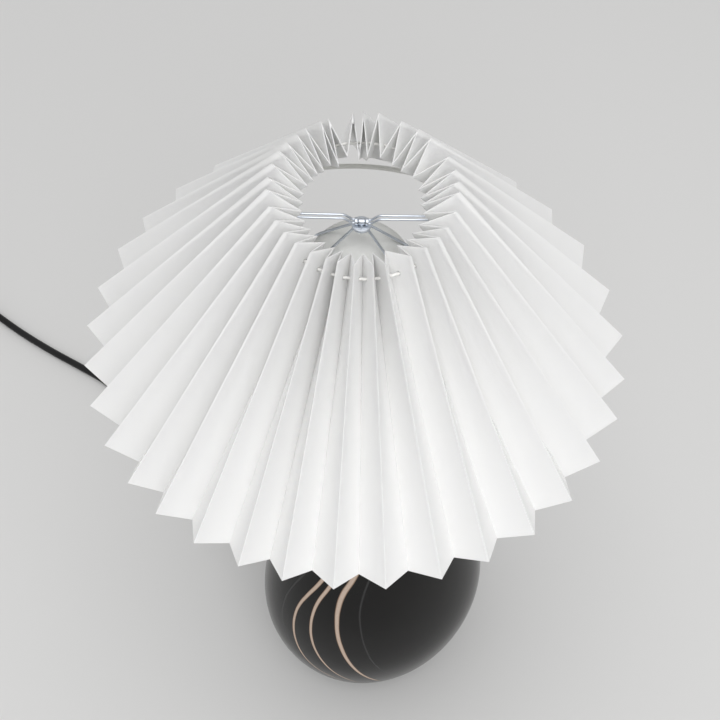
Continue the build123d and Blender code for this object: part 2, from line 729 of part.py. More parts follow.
def string_ring(radius):
    """Ring along the gathering string."""
    return Pos(0, 0, STRING_RISE) * Torus(STRING_RING_R, radius)


def pleated_shade():
    """Folded white paper shade with its punched holes and two slots for the carriers."""
    return shaded(pleated_paper() - string_ring(HOLE_R) - carrier_slot(-1) - carrier_slot(1))


def gather_string():
    """String that gathers the top, through every panel."""
    return shaded(string_ring(STRING_R))


def strand_points(side, across):
    """Points of one strand, from the ferrule up and out to the bent end."""
    turn, reach = carrier_turn(side)
    axle_z = HEM_BELOW_BULB + GLASS_R + AXLE_RISE
    start_x = BARREL_L / 2 + AXLE_GAP + FERRULE_L
    end = reach + CARRIER_PAST_FOLD - CARRIER_HALF_GAP
    slant = tan(radians(turn * side))
    rise_x = start_x + CARRIER_STRAIGHT + CARRIER_CLIMB
    return [Vector(side * start_x, across, axle_z), Vector(side * (start_x + CARRIER_STRAIGHT), across, axle_z),
            Vector(side * rise_x, across + (rise_x - start_x) * slant, CARRIER_RISE),
            Vector(side * end, across + (end - start_x) * slant, CARRIER_RISE)]


def carrier_wire(side):
    """Doubled steel wire from the axle to the paper, bent back in a tight loop at its end."""
    first = strand_points(side, -CARRIER_HALF_GAP)
    last = strand_points(side, CARRIER_HALF_GAP)
    tip = (first[-1] + last[-1]) / 2 + (first[-1] - first[-2]).normalized() * CARRIER_HALF_GAP
    leg_in = FilletPolyline(*first, radius=list(CARRIER_BENDS))
    leg_out = FilletPolyline(*reversed(last), radius=list(reversed(CARRIER_BENDS)))
    bend = Edge.make_three_point_arc(first[-1], tip, last[-1])
    return shaded(wire_along(Wire([*leg_in.edges(), bend, *leg_out.edges()]), CARRIER_WIRE_R))


def hoop_radius():
    """Radius of the hoop, which lies inside the innermost of the inner folds at its height."""
    reach = []
    for hem, top in fold_lines()[1::2]:
        point = hem + (top - hem) * ((HOOP_RISE - hem.Z) / (top.Z - hem.Z))
        reach.append(sqrt(point.X ** 2 + point.Y ** 2))
    inward, down = wall_slope()
    return min(reach) - PAPER_T * 2 - HOOP_FIT - HOOP_WIRE_R / inward


def hem_hoop():
    """Slim hoop that spreads the hem from inside."""
    return shaded(Pos(0, 0, HOOP_RISE) * Torus(hoop_radius(), HOOP_WIRE_R))


# ---- cord -------------------------------------------------------------------------------------------

def corner_radii(points):
    """Largest arcs that the runs allow: 0.45 of the shorter run over the tangent of half the turn."""
    radii = []
    for before, here, after in zip(points, points[1:], points[2:]):
        turn = (here - before).get_angle(after - here)
        shorter = min((here - before).length, (after - here).length)
        radii.append(0.45 * shorter / tan(radians(turn) / 2))
    return radii


def cord_path(points, name):
    """Runs joined by tangent arcs; prints the arcs' radii."""
    radii = corner_radii(points)
    print(name, "radii", [round(r, 1) for r in radii])
    return FilletPolyline(*points, radius=radii)


def cord_tube(path, name):
    """Cord of round section along a path; prints how its volume compares with section times length."""
    tube = wire_along(path, CORD_R)
    ratio = tube.volume / (pi * CORD_R ** 2 * path.length)
    print(name, "length", round(path.length, 1), "volume ratio", round(ratio, 5))
    return tube


def inner_lead():
    """The cord inside the base: in through the sleeve, up the middle and through the tube into the holder."""
    points = [sleeve_tip(), exit_point(26), exit_point(5, 30), Vector(0, 0, 66), Vector(3, 2, 130),
              Vector(-2, 2, 195), Vector(1, -2, 260), Vector(0, 0, 318),
              Vector(0, 0, HOLDER_Z + TUBE_IN_HOLDER + 4)]
    return cord_tube(cord_path(points, "inner_lead"), "inner_lead")


def cord_lead():
    """Free cord from the base to the switch."""
    points = [sleeve_tip(), exit_point(exit_reach() + SLEEVE_OUT + LEAD_OUT), *[Vector(p) for p in LEAD_POINTS],
              switch_point(-SWITCH_L / 2 - SWITCH_LEAD), switch_point(SWITCH_GRIP - SWITCH_L / 2)]
    return cord_tube(cord_path(points, "cord_lead"), "cord_lead")


def switch_way():
    """Direction of the cord through the switch."""
    return Vector(cos(radians(SWITCH_DEG)), sin(radians(SWITCH_DEG)), 0)


def switch_point(along, z=SWITCH_SPLIT_Z):
    """Point on the line through the switch, at a distance from its middle."""
    return Vector(*SWITCH_AT, z) + switch_way() * along


def switch_frame():
    """Frame at the middle of the switch's underside, X along the cord."""
    return Plane(origin=switch_point(0, 0), x_dir=switch_way(), z_dir=(0, 0, 1)).location


def coil_start():
    """Where the coil's first turn begins, on the table."""
    return switch_point(SWITCH_L / 2 + COIL_FROM_SWITCH, CORD_R + TABLE_FIT)


def coil_frame():
    """Centre of the coil on the table, to the left of the way that the cord arrives."""
    way = switch_way()
    side = Vector(-way.Y, way.X, 0)
    return coil_start() + side * coil_radius(0.0), way, side


def coil_radius(turns):
    """Radius after so many turns: in on the lower layer, out again on the upper one, at one rate."""
    half = COIL_TURNS / 2
    inward = half - abs(turns - half)
    return COIL_MID_R + COIL_PITCH * half / 2 - COIL_PITCH * inward


def coil_height(turns):
    """Height of the cord's middle: it climbs one layer in the half turn where the spiral reverses."""
    climb = (turns - COIL_TURNS / 2 + 0.25) / 0.5
    climb = min(max(climb, 0.0), 1.0)
    return CORD_R + TABLE_FIT + COIL_LAYER * (0.5 - 0.5 * cos(pi * climb))


def coil_point(turns):
    """Point on the coil's line after so many turns from its start."""
    centre, way, side = coil_frame()
    turn = 2 * pi * turns
    radius = coil_radius(turns)
    flat = centre + way * (radius * sin(turn)) - side * (radius * cos(turn))
    return Vector(flat.X, flat.Y, coil_height(turns))


def coil_tangent(turns):
    """Direction of the coil's line."""
    step = 0.002
    if turns < step:
        return switch_way()
    if turns > COIL_TURNS - step:
        way = coil_point(turns) - coil_point(turns - step)
        return Vector(way.X, way.Y, 0).normalized()
    return (coil_point(turns + step) - coil_point(turns - step)).normalized()


def biarc(start, start_way, end, end_way):
    """Two arcs that join two points with given directions."""
    span = end - start
    ways = start_way + end_way
    spread = 2 * (1 - start_way.dot(end_way))
    lean = span.dot(ways)
    reach = (-lean + sqrt(lean ** 2 + spread * span.dot(span))) / spread
    middle = (start + end + (start_way - end_way) * reach) / 2
    first = Edge.make_tangent_arc(start, start_way, middle)
    back = Edge.make_tangent_arc(end, end_way * -1, middle)
    return [first, Edge.make_three_point_arc(middle, back @ 0.5, end)]


def plug_entry():
    """Where the cord enters the plug's strain relief, and the way it runs there."""
    way = coil_tangent(COIL_TURNS)
    end = coil_point(COIL_TURNS) + way * 34
    return Vector(end.X, end.Y, PLUG_T / 2), way


def coil_path():
    """Line of the coil from the switch to the plug."""
    end = SWITCH_L / 2
    start = coil_start()
    way = switch_way()
    lift = Vector(0, 0, (SWITCH_SPLIT_Z - start.Z) * 0.12)
    lead_in = cord_path([switch_point(end - SWITCH_GRIP), switch_point(end + SWITCH_LEAD),
                         start - way * 26 + lift, start - way * 9, start], "coil_in")
    edges = list(lead_in.edges())
    steps = round(COIL_TURNS * 4)
    for k in range(steps):
        a, b = COIL_TURNS * k / steps, COIL_TURNS * (k + 1) / steps
        edges += biarc(coil_point(a), coil_tangent(a), coil_point(b), coil_tangent(b))
    entry, plug_way = plug_entry()
    last = coil_point(COIL_TURNS)
    lead_out = cord_path([last, last + plug_way * 10, entry - plug_way * 10, entry], "coil_out")
    return Wire([*edges, *lead_out.edges()])


def self_gap():
    """Least gap of the coil to itself, measured between points more than a third of a turn apart."""
    count = 40
    points = [coil_point(k / count) for k in range(int(COIL_TURNS * count) + 1)]
    least = min((a - b).length for i, a in enumerate(points) for b in points[i + count // 3:])
    return least - 2 * CORD_R


def cord_coil():
    """The spare cord in a neat round coil, from the switch to the plug."""
    print("coil least gap", round(self_gap(), 2))
    return cord_tube(coil_path(), "cord_coil")


# ---- switch on the cord ---------------------------------------------------------------------------------

def switch_block(z0, z1, inset=0.0):
    """Rounded block of the switch between two heights."""
    plan = RectangleRounded(SWITCH_L - 2 * inset, SWITCH_W - 2 * inset, SWITCH_CORNER_R - inset)
    return extrude(Pos(0, 0, z0) * plan, z1 - z0)


def switch_shell(z0, z1, hollow0, hollow1):
    """Half of the switch's housing with room inside and a hole for the cord at both ends."""
    shell = switch_block(z0, z1) - switch_block(hollow0, hollow1, SWITCH_WALL)
    for side in (-1, 1):
        end = Pos(side * SWITCH_L / 2, 0, SWITCH_SPLIT_Z) * Rot(0, 90, 0)
        shell -= end * Cylinder(CORD_R + CORD_FIT, 6 * SWITCH_WALL)
    return shell


def switch_screw_spots():
    """Places of the two screws under the switch."""
    return [(-22.0, 8.0), (22.0, -8.0)]


def switch_base():
    """Lower half of the switch's housing, with two screw posts."""
    half = SWITCH_SPLIT_Z
    base = switch_shell(0.0, half, SWITCH_WALL, half)
    for x, y in switch_screw_spots():
        base += Pos(x, y, half / 2) * Cylinder(SWITCH_POST_R, half)
        base -= Pos(x, y, half / 2) * Cylinder(TERMINAL_R + CORD_FIT, half + 1)
        base -= Pos(x, y, 1.0) * Cylinder(TERMINAL_R + 1.3, 2.4)
    return switch_frame() * base


def switch_cover():
    """Upper half of the switch's housing, with the rocker's window and the holes for its pin."""
    half = SWITCH_SPLIT_Z
    cover = switch_shell(half, SWITCH_H, half, SWITCH_H - SWITCH_WALL)
    window = Pos(0, 0, SWITCH_H) * Box(2 * (ROCKER_R + ROCKER_FIT), ROCKER_W + 2 * ROCKER_FIT, 4 * SWITCH_WALL)
    cover -= window
    for side in (-1, 1):
        y = side * (ROCKER_W / 2 + ROCKER_FIT + 1.2)
        low, high = rocker_pin_z() - 3.0, SWITCH_H - SWITCH_WALL / 2
        cover += Pos(0, y, (low + high) / 2) * Box(6, 2, high - low)
    cover -= Pos(0, 0, rocker_pin_z()) * Rot(90, 0, 0) * Cylinder(SWITCH_PIN_R + 0.05, ROCKER_W + 6)
    for x, y in switch_screw_spots():
        cover += Pos(x, y, (half + SWITCH_H - 1) / 2) * Cylinder(SWITCH_POST_R, SWITCH_H - 1 - half)
        cover -= Pos(x, y, half + 2.5) * Cylinder(TERMINAL_R + CORD_FIT, 5)
    return switch_frame() * cover


def rocker_pin_z():
    """Height of the rocker's pin."""
    return SWITCH_H - 4.2


def switch_rocker():
    """Rocker, pressed down on one side: a drum round the pin, cut to a shallow V on top."""
    drum = Rot(90, 0, 0) * Cylinder(ROCKER_R, ROCKER_W)
    far = 2 * ROCKER_R
    rise = ROCKER_DIP + far * tan(radians(ROCKER_TILT))
    outline = Polyline((-far, 0, -ROCKER_DEEP), (far, 0, -ROCKER_DEEP), (far, 0, rise), (0, 0, ROCKER_DIP),
                       (-far, 0, rise), close=True)
    drum &= extrude(make_face(outline), ROCKER_W, both=True)
    drum -= Rot(90, 0, 0) * Cylinder(SWITCH_PIN_R + RUN_FIT, 2 * ROCKER_W)
    return switch_frame() * Pos(0, 0, rocker_pin_z()) * Rot(0, ROCKER_TILT, 0) * drum


def switch_pin():
    """Steel pin that the rocker turns on."""
    length = ROCKER_W + 2 * ROCKER_FIT + 4
    return switch_frame() * Pos(0, 0, rocker_pin_z()) * Rot(90, 0, 0) * Cylinder(SWITCH_PIN_R, length)


def switch_screws():
    """Two screws that hold the halves of the switch together."""
    screws = []
    for x, y in switch_screw_spots():
        head = Pos(x, y, 1.2) * Cylinder(TERMINAL_R + 1.2, 1.8)
        slot = Pos(x, y, 0.4) * Box(8, 0.8, 1.0)
        shank = Pos(x, y, 2.1 + 5.5) * Cylinder(TERMINAL_R, 11)
        screws.append(switch_frame() * (head - slot + shank))
    return group(screws)


# ---- plug -------------------------------------------------------------------------------------------------

def plug_frame():
    """Frame at the mouth of the plug's strain relief, Z along the cord towards the pins."""
    entry, way = plug_entry()
    return Plane(origin=entry, x_dir=Vector(-way.Y, way.X, 0), z_dir=way).location


def plug_relief():
    """Ribbed, tapered strain relief of the plug."""
    points = [(CORD_R + CORD_FIT, 0), (CORD_R + 0.9, 0)]
    ribs = 5
    for rib in range(ribs):
        z = 2 + rib * (RELIEF_L - 4) / ribs
        radius = CORD_R + 1.0 + 1.6 * (rib + 1) / ribs
        points += [(radius, z), (radius, z + 2.4), (CORD_R + 0.7, z + 2.6), (CORD_R + 0.7, z + 4.0)]
    points += [(CORD_R + 1.6, RELIEF_L), (CORD_R + CORD_FIT, RELIEF_L)]
    sleeve = turned(*points)
    return plug_frame() * sleeve


def plug_body():
    """Flat two-pin plug body that widens from the cord to the pins."""
    back = Pos(0, 0, RELIEF_L) * RectangleRounded(PLUG_T + 1, PLUG_T - 1, 3)
    middle = Pos(0, 0, RELIEF_L + PLUG_L * 0.55) * RectangleRounded(PLUG_W * 0.8, PLUG_T, 4)
    front = Pos(0, 0, RELIEF_L + PLUG_L) * RectangleRounded(PLUG_W, PLUG_T, 4)
    body = loft([back, middle, front])
    for side in (-1, 1):
        body -= Pos(side * PIN_SPACING / 2, 0, RELIEF_L + PLUG_L) * Cylinder(PIN_R + 0.05, 2 * PIN_ROOT)
    return plug_frame() * body


def plug_pins():
    """Two round pins."""
    pins = []
    for side in (-1, 1):
        middle = RELIEF_L + PLUG_L + (PIN_L - PIN_ROOT) / 2
        pin = Pos(side * PIN_SPACING / 2, 0, middle) * Cylinder(PIN_R, PIN_L + PIN_ROOT)
        pins.append(plug_frame() * pin)
    return group(pins)


PARTS = {
    "ceramic_body": ceramic_body, "base_felt": base_felt, "cord_sleeve": cord_sleeve,
    "neck_gasket": neck_gasket, "neck_cap": neck_cap, "neck_washer": neck_washer,
    "threaded_tube": threaded_tube, "tube_nuts": tube_nuts,
    "holder_cap": holder_cap, "holder_skirt": holder_skirt, "holder_core": holder_core,
    "terminal_screws": terminal_screws, "core_screws": core_screws,
    "thread_sleeve": thread_sleeve, "centre_contact": centre_contact,
    "bulb_glass": bulb_glass, "bulb_cap": bulb_cap, "bulb_insulator": bulb_insulator,
    "bulb_contact": bulb_contact, "bulb_stem": bulb_stem, "bulb_filaments": bulb_filaments,
    "filament_wires": filament_wires,
    "clip_loop_left": lambda: clip_loop(-1), "clip_loop_right": lambda: clip_loop(1),
    "clip_ring": clip_ring, "clip_barrel": clip_barrel, "carrier_axle": carrier_axle,
    "pleated_shade": pleated_shade, "gather_string": gather_string,
    "carrier_wire_left": lambda: carrier_wire(-1), "carrier_wire_right": lambda: carrier_wire(1),
    "hem_hoop": hem_hoop,
    "inner_lead": inner_lead, "cord_lead": cord_lead, "cord_coil": cord_coil,
    "switch_base": switch_base, "switch_cover": switch_cover, "switch_rocker": switch_rocker,
    "switch_pin": switch_pin, "switch_screws": switch_screws,
    "plug_body": plug_body, "plug_pins": plug_pins, "plug_relief": plug_relief,
}

os.makedirs("parts", exist_ok=True)
for part_name, make in PARTS.items():
    export_step(make(), f"parts/{part_name}.step")
print("bulb", round(CONTACT_Z, 1), round(GLASS_Z, 1), round(BULB_TOP_Z, 1))
print("hem", round(GLASS_Z - HEM_BELOW_BULB, 1))
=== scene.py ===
"""Looks of the pleated paper table lamp: glazed base, lamp holder, bulb, spring clip, paper shade and cord.

All places are in metres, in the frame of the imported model: +Z up, the origin on the table under the neck,
-Y the front. Each class below builds one sub-assembly and dresses it.
"""

import json
import logging
from contextlib import contextmanager
from dataclasses import dataclass, replace
from enum import Enum
from math import atan2, cos, pi, radians, sin, sqrt, tan
from typing import Callable, Iterable, Iterator, Sequence, Union

import bmesh
import bpy
from mathutils import Matrix, Vector

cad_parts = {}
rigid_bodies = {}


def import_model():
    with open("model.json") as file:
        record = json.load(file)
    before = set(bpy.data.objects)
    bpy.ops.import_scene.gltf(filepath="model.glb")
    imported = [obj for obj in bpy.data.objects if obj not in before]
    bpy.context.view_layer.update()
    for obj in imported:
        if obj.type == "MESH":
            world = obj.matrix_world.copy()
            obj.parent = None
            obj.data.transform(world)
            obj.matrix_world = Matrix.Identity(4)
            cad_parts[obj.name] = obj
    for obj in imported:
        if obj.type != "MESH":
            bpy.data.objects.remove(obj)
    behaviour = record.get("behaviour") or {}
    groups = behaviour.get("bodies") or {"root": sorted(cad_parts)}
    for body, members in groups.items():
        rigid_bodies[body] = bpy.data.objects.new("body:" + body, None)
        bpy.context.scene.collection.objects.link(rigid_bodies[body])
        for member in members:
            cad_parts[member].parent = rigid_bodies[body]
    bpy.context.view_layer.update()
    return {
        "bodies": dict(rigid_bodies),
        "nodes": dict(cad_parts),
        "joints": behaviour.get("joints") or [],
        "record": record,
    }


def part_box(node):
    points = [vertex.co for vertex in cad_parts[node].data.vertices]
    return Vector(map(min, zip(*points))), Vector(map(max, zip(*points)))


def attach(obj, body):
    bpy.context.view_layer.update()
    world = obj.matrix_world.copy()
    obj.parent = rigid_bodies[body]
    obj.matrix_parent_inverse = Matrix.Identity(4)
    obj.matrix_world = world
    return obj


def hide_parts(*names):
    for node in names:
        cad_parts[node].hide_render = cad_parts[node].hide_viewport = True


MM = 0.001
LOG = logging.getLogger("lamp")
BULB_CENTRE = Vector((0.0, 0.0, 469 * MM))
SHADE_LEAN = radians(2.3)
HEM_BELOW_BULB = 59 * MM
# edges sharper than this many degrees are eased or stay sharp
SHARP_EDGE = 35.0


# ---- shader expressions --------------------------------------------------------------------------


def joins(operation: str, swapped: bool = False) -> Callable[["Signal", "Value"], "Signal"]:
    """Make a method that joins a signal and a value in one Math node.

    Args:
        operation: Name of the Math node's operation.
        swapped: Whether the value comes first, as a number on the left does.

    Returns:
        The method.
    """
    def joined(self: "Signal", other: "Value") -> "Signal":
        """Result of the node."""
        return self.maths(operation, *((other, self) if swapped else (self, other)))
    return joined


class Signal:
    """A shader socket that takes part in Python expressions."""

    def __init__(self, shader: "Shader", socket: bpy.types.NodeSocket) -> None:
        """Keep the socket and the shader whose nodes it belongs to."""
        self.shader = shader
        self.socket = socket

    def maths(self, operation: str, *values: "Value") -> "Signal":
        """Add one Math node on numbers or signals, and give its result."""
        return self.shader.add("ShaderNodeMath", {"operation": operation}, dict(enumerate(values)))

    __add__, __radd__ = joins("ADD"), joins("ADD", True)
    __sub__, __rsub__ = joins("SUBTRACT"), joins("SUBTRACT", True)
    __mul__, __rmul__ = joins("MULTIPLY"), joins("MULTIPLY", True)
    __truediv__, __pow__ = joins("DIVIDE"), joins("POWER")
    least, most = joins("MINIMUM"), joins("MAXIMUM")

    def __abs__(self) -> "Signal":
        """Size without its sign."""
        return self.maths("ABSOLUTE", self)

    def sine(self) -> "Signal":
        """Sine of this angle."""
        return self.maths("SINE", self)

    def fraction(self) -> "Signal":
        """What is left after the whole number."""
        return self.maths("FRACT", self)

    def turned_into(self, low: float, high: float) -> "Signal":
        """Wrap an angle into a range."""
        return self.maths("WRAP", self, high, low)

    def eased(self, low: "Value", high: "Value") -> "Signal":
        """Go smoothly from nought at low to one at high.

        Args:
            low: Value at which the result leaves nought.
            high: Value at which it reaches one.

        Returns:
            The eased signal.
        """
        settings = {"interpolation_type": "SMOOTHSTEP"}
        sockets = {"Value": self, "From Min": low, "From Max": high, "To Min": 0.0, "To Max": 1.0}
        return self.shader.add("ShaderNodeMapRange", settings, sockets)


Value = Union[float, int, Signal]
Colour = tuple[float, float, float]


class Shader:
    """Node tree of one material round a Principled surface."""

    def __init__(self, name: str) -> None:
        """Start an empty tree with its surface and output.

        Args:
            name: Name of the material.
        """
        self.material = bpy.data.materials.new(name)
        self.material.use_nodes = True
        self.tree = self.material.node_tree
        self.tree.nodes.clear()
        output = self.tree.nodes.new("ShaderNodeOutputMaterial")
        self.surface = self.tree.nodes.new("ShaderNodeBsdfPrincipled")
        self.tree.links.new(self.surface.outputs["BSDF"], output.inputs["Surface"])

    def _fill(self, socket: bpy.types.NodeSocket, value: object) -> None:
        """Link a signal to a socket, or write a number, colour or vector on it.

        Args:
            socket: The socket.
            value: What it gets.
        """
        if isinstance(value, Signal):
            self.tree.links.new(value.socket, socket)
        elif isinstance(value, tuple) and socket.type == "RGBA":
            socket.default_value = (*value[:3], 1.0)
        else:
            socket.default_value = value

    def add(self, kind: str, settings: dict, sockets: dict, output: Union[int, str] = 0) -> Signal:
        """Add any node.

        Args:
            kind: Type of the node.
            settings: Its properties, and for a curve its points as (place, value) pairs.
            sockets: Numbers, colours or signals by socket index, name or identifier.
            output: Which result is wanted.

        Returns:
            That result.
        """
        node = self.tree.nodes.new(kind)
        for name, value in settings.items():
            if name == "points":
                self._set_points(node.mapping, value)
            else:
                setattr(node, name, value)
        for key, value in sockets.items():
            self._fill(self._find(node.inputs, key), value)
        return Signal(self, self._find(node.outputs, output))

    @staticmethod
    def _set_points(mapping: bpy.types.CurveMapping, points: Sequence[tuple[float, float]]) -> None:
        """Lay a curve through points.

        Args:
            mapping: The node's curves.
            points: Pairs of place and value, both between nought and one.
        """
        curve = mapping.curves[0]
        while len(curve.points) < len(points):
            curve.points.new(0.5, 0.5)
        for point, place in zip(curve.points, points):
            point.location = place
        mapping.update()

    @staticmethod
    def _find(sockets: Iterable[bpy.types.NodeSocket], key: Union[int, str]) -> bpy.types.NodeSocket:
        """Find a socket by its index, or the shown one with that name or identifier.

        Args:
            sockets: The node's sockets.
            key: Index, name or identifier.

        Returns:
            The socket.
        """
        listed = list(sockets)
        if isinstance(key, int):
            return listed[key]
        return next(s for s in listed if s.identifier == key or (s.name == key and s.enabled))

    def place(self, kind: str = "Object") -> Signal:
        """Coordinates of the surface point."""
        return self.add("ShaderNodeTexCoord", {}, {}, kind)

    def axis(self, vector: Signal, letter: str) -> Signal:
        """One coordinate of a vector."""
        return self.add("ShaderNodeSeparateXYZ", {}, {0: vector}, letter)

    def stretched(self, vector: Signal, scale: Colour) -> Signal:
        """Coordinates scaled along each axis."""
        return self.add("ShaderNodeMapping", {}, {"Vector": vector, "Scale": scale}, "Vector")

    def noise(self, vector: Signal, scale: float, detail: float = 2.0, roughness: float = 0.5) -> Signal:
        """Cloudy pattern between nought and one."""
        sockets = {"Vector": vector, "Scale": scale, "Detail": detail, "Roughness": roughness}
        return self.add("ShaderNodeTexNoise", {}, sockets)

    def mix(self, mask: Value, first: object, second: object) -> Signal:
        """Blend two colours by a mask."""
        sockets = {"Factor_Float": mask, "A_Color": first, "B_Color": second}
        return self.add("ShaderNodeMix", {"data_type": "RGBA"}, sockets, "Result_Color")

    def bump(self, height: Signal, strength: float, distance: float) -> Signal:
        """Normal of a surface raised by a height pattern."""
        sockets = {"Height": height, "Strength": strength, "Distance": distance}
        return self.add("ShaderNodeBump", {}, sockets, "Normal")

    def finish(self, **sockets: object) -> bpy.types.Material:
        """Set the surface's sockets.

        Args:
            sockets: Values or signals by socket name, with underscores for spaces.

        Returns:
            The finished material.
        """
        for name, value in sockets.items():
            self._fill(self.surface.inputs[name.replace("_", " ")], value)
        return self.material


# ---- finishes ------------------------------------------------------------------------------------


def scaled(colour: Colour, factor: float) -> Colour:
    """Lighter or darker colour."""
    return tuple(factor * c for c in colour)


@dataclass(frozen=True)
class Paper:
    """Smooth white paper with its creases, on a sheet map in metres."""

    name: str = "shade_paper"
    colour: Colour = (0.885, 0.885, 0.876)
    warm: Colour = (0.880, 0.870, 0.845)
    # tone of the painted highlight that lightens the paper along each fold
    fold_highlight: Colour = (0.93, 0.93, 0.925)
    panel: float = 20.5 * MM
    glow_depth: float = 1.3 * MM

    def make(self) -> bpy.types.Material:
        """Mix soft fibre clouds and a painted highlight along each fold into white paper.

        Returns:
            The material.
        """
        shader = Shader(self.name)
        sheet = shader.place("UV")
        along = shader.axis(sheet, "X")
        fibres = shader.noise(shader.stretched(sheet, (900, 260, 1)), 1.0, 3.0, 0.6)
        clouds = shader.noise(sheet, 55.0, 2.0)
        share = (along / self.panel).fraction()
        to_fold = share.least(1 - share) * self.panel
        crease = 1 - to_fold.eased(0.15 * MM, 0.9 * MM)
        tone = shader.mix(clouds.eased(0.35, 0.75) * 0.35, self.colour, self.warm)
        # painted highlight: the paper is lighter along each fold, standing in for the light that the rounded
        # folds catch
        tone = shader.mix(crease * 0.35, tone, self.fold_highlight)
        grain = fibres * 0.6 + clouds * 0.4
        return shader.finish(Base_Color=tone, Roughness=0.78 - 0.12 * crease, Specular_IOR_Level=0.2,
                             Normal=shader.bump(grain, 0.12, 0.1 * MM), Subsurface_Weight=1.0,
                             Subsurface_Scale=self.glow_depth, Subsurface_Radius=(1.0, 1.0, 0.97))


@dataclass(frozen=True)
class Stripe:
    """Line round the base: its half width, and its angle from the front at heights, in mm and degrees."""

    half: float
    course: tuple[tuple[float, float], ...]


@dataclass(frozen=True)
class Glaze:
    """Near-black satin glaze with three tan lines that sweep round the base."""

    name: str = "glaze"
    colour: Colour = (0.0070, 0.0066, 0.0064)
    ash: Colour = (0.0125, 0.0120, 0.0115)
    clay: Colour = (0.62, 0.49, 0.40)
    burnt: Colour = (0.34, 0.225, 0.155)
    # tone of the painted highlight along the fine grooves
    groove_highlight: Colour = (0.060, 0.060, 0.061)
    tall: float = 352.0
    stripes: tuple[Stripe, ...] = (
        Stripe(1.1, ((20, 2), (40, -6), (60, -17.5), (75, -27), (90, -33.2), (105, -37.3), (120, -39.6),
                     (135, -40.2), (150, -38.9), (165, -35.2), (180, -30), (240, -9), (352, 26))),
        Stripe(1.1, ((20, 12), (40, 3), (60, -7), (75, -13.8), (90, -19.5), (105, -24.2), (120, -27.5),
                      (135, -29.1), (150, -29.1), (165, -27.2), (180, -22.8), (240, -1), (352, 36))),
        Stripe(1.55, ((20, 20), (40, 14), (60, 7), (75, 1.8), (90, -3.0), (105, -7.1), (120, -10.3),
                      (135, -12.8), (150, -14.0), (165, -14.0), (180, -11.8), (195, -6), (240, 12), (352, 52))))
    grooves: tuple[Stripe, ...] = (
        Stripe(0.8, ((20, 0), (60, -23), (90, -39.5), (105, -45.6), (120, -49.4), (135, -49.9), (150, -49.0),
                     (180, -42), (240, -20), (352, 16))),
        Stripe(0.9, ((20, 46), (60, 21), (90, 9.5), (120, 3), (150, -0.2), (165, -0.4), (180, 1.7), (195, 6),
                     (240, 24), (352, 64))))

    def _course(self, shader: Shader, height: Signal, stripe: Stripe) -> Signal:
        """Angle of a line's middle at a height, in degrees from the front."""
        points = [(z / self.tall, (angle + 90) / 180) for z, angle in stripe.course]
        return shader.add("ShaderNodeFloatCurve", {"points": points}, {"Value": height / self.tall}) * 180 - 90

    def _across(self, shader: Shader, angle: Signal, place: Signal, stripe: Stripe) -> Signal:
        """Distance from the middle of one line.

        Args:
            shader: Shader that the line is for.
            angle: Angle round the axis from the front, in degrees.
            place: Coordinates of the surface point.
            stripe: The line.

        Returns:
            The distance square to the line, in half widths of it.
        """
        height = shader.axis(place, "Z") / MM
        middle = self._course(shader, height, stripe)
        reach = shader.add("ShaderNodeVectorMath", {"operation": "LENGTH"},
                           {0: shader.stretched(place, (1.0, 1.0, 0.0))}, "Value") / MM
        arc = abs((angle - middle).turned_into(-180.0, 180.0)) * reach * (pi / 180)
        slope = (self._course(shader, height + 2, stripe) - middle) * reach * (pi / 360)
        half = (height.eased(50.0, 130.0) * 0.5 + height.eased(140.0, 185.0) * 0.3 + 0.5) * stripe.half
        return arc / ((slope * slope + 1) ** 0.5 * half)

    def _inside(self, shader: Shader, angle: Signal, place: Signal, stripes: Sequence[Stripe]) -> Signal:
        """How far inside the nearest of several lines a point lies.

        Args:
            shader: Shader that the lines are for.
            angle: Angle round the axis from the front, in degrees.
            place: Coordinates of the surface point.
            stripes: The lines.

        Returns:
            One at a line's middle, nought at its edge.
        """
        inside = 1 - self._across(shader, angle, place, stripes[0])
        for stripe in stripes[1:]:
            inside = inside.most(1 - self._across(shader, angle, place, stripe))
        return inside

    def make(self) -> bpy.types.Material:
        """Mix glaze, ash clouds, tan lines and fine grooves, with a painted highlight along the grooves.

        Returns:
            The material.
        """
        shader = Shader(self.name)
        place = shader.place()
        angle = shader.add("ShaderNodeMath", {"operation": "ARCTAN2"},
                           {0: shader.axis(place, "X"), 1: shader.axis(place, "Y") * -1}) * (180 / pi)
        clouds = shader.noise(place, 16.0, 3.0, 0.55)
        specks = shader.noise(place, 900.0, 2.0, 0.6)
        tone = shader.mix(clouds.eased(0.40, 0.78) * 0.7, self.colour, self.ash)
        tone = shader.mix(specks.eased(0.62, 0.75) * 0.35, tone, self.ash)
        # the fine grooves are cut into the bump, and their lighter tone is a painted highlight
        groove_and_highlight = self._inside(shader, angle, place, self.grooves).eased(0.0, 0.8)
        tone = shader.mix(groove_and_highlight * 0.55, tone, self.groove_highlight)
        inside = self._inside(shader, angle, place, self.stripes)
        lines = inside.eased(-0.2, 0.25) * (shader.axis(place, "Z") / MM).eased(44.0, 62.0)
        clay = shader.mix(specks.eased(0.3, 0.7) * 0.5 + clouds * 0.2, self.clay, scaled(self.clay, 0.8))
        tone = shader.mix(lines, tone, shader.mix(inside.eased(0.05, 0.5), self.burnt, clay))
        rough = 0.14 + 0.08 * clouds + 0.42 * lines
        relief = specks * 0.12 + clouds * 1.2 - lines * 0.9 - groove_and_highlight * 0.8
        return shader.finish(Base_Color=tone, Roughness=rough, Normal=shader.bump(relief, 0.3, 0.1 * MM),
                             Specular_IOR_Level=0.15)


class Grain(Enum):
    """How fine a moulded or pressed surface is."""

    FINE = 2600.0
    MEDIUM = 900.0
    COARSE = 350.0


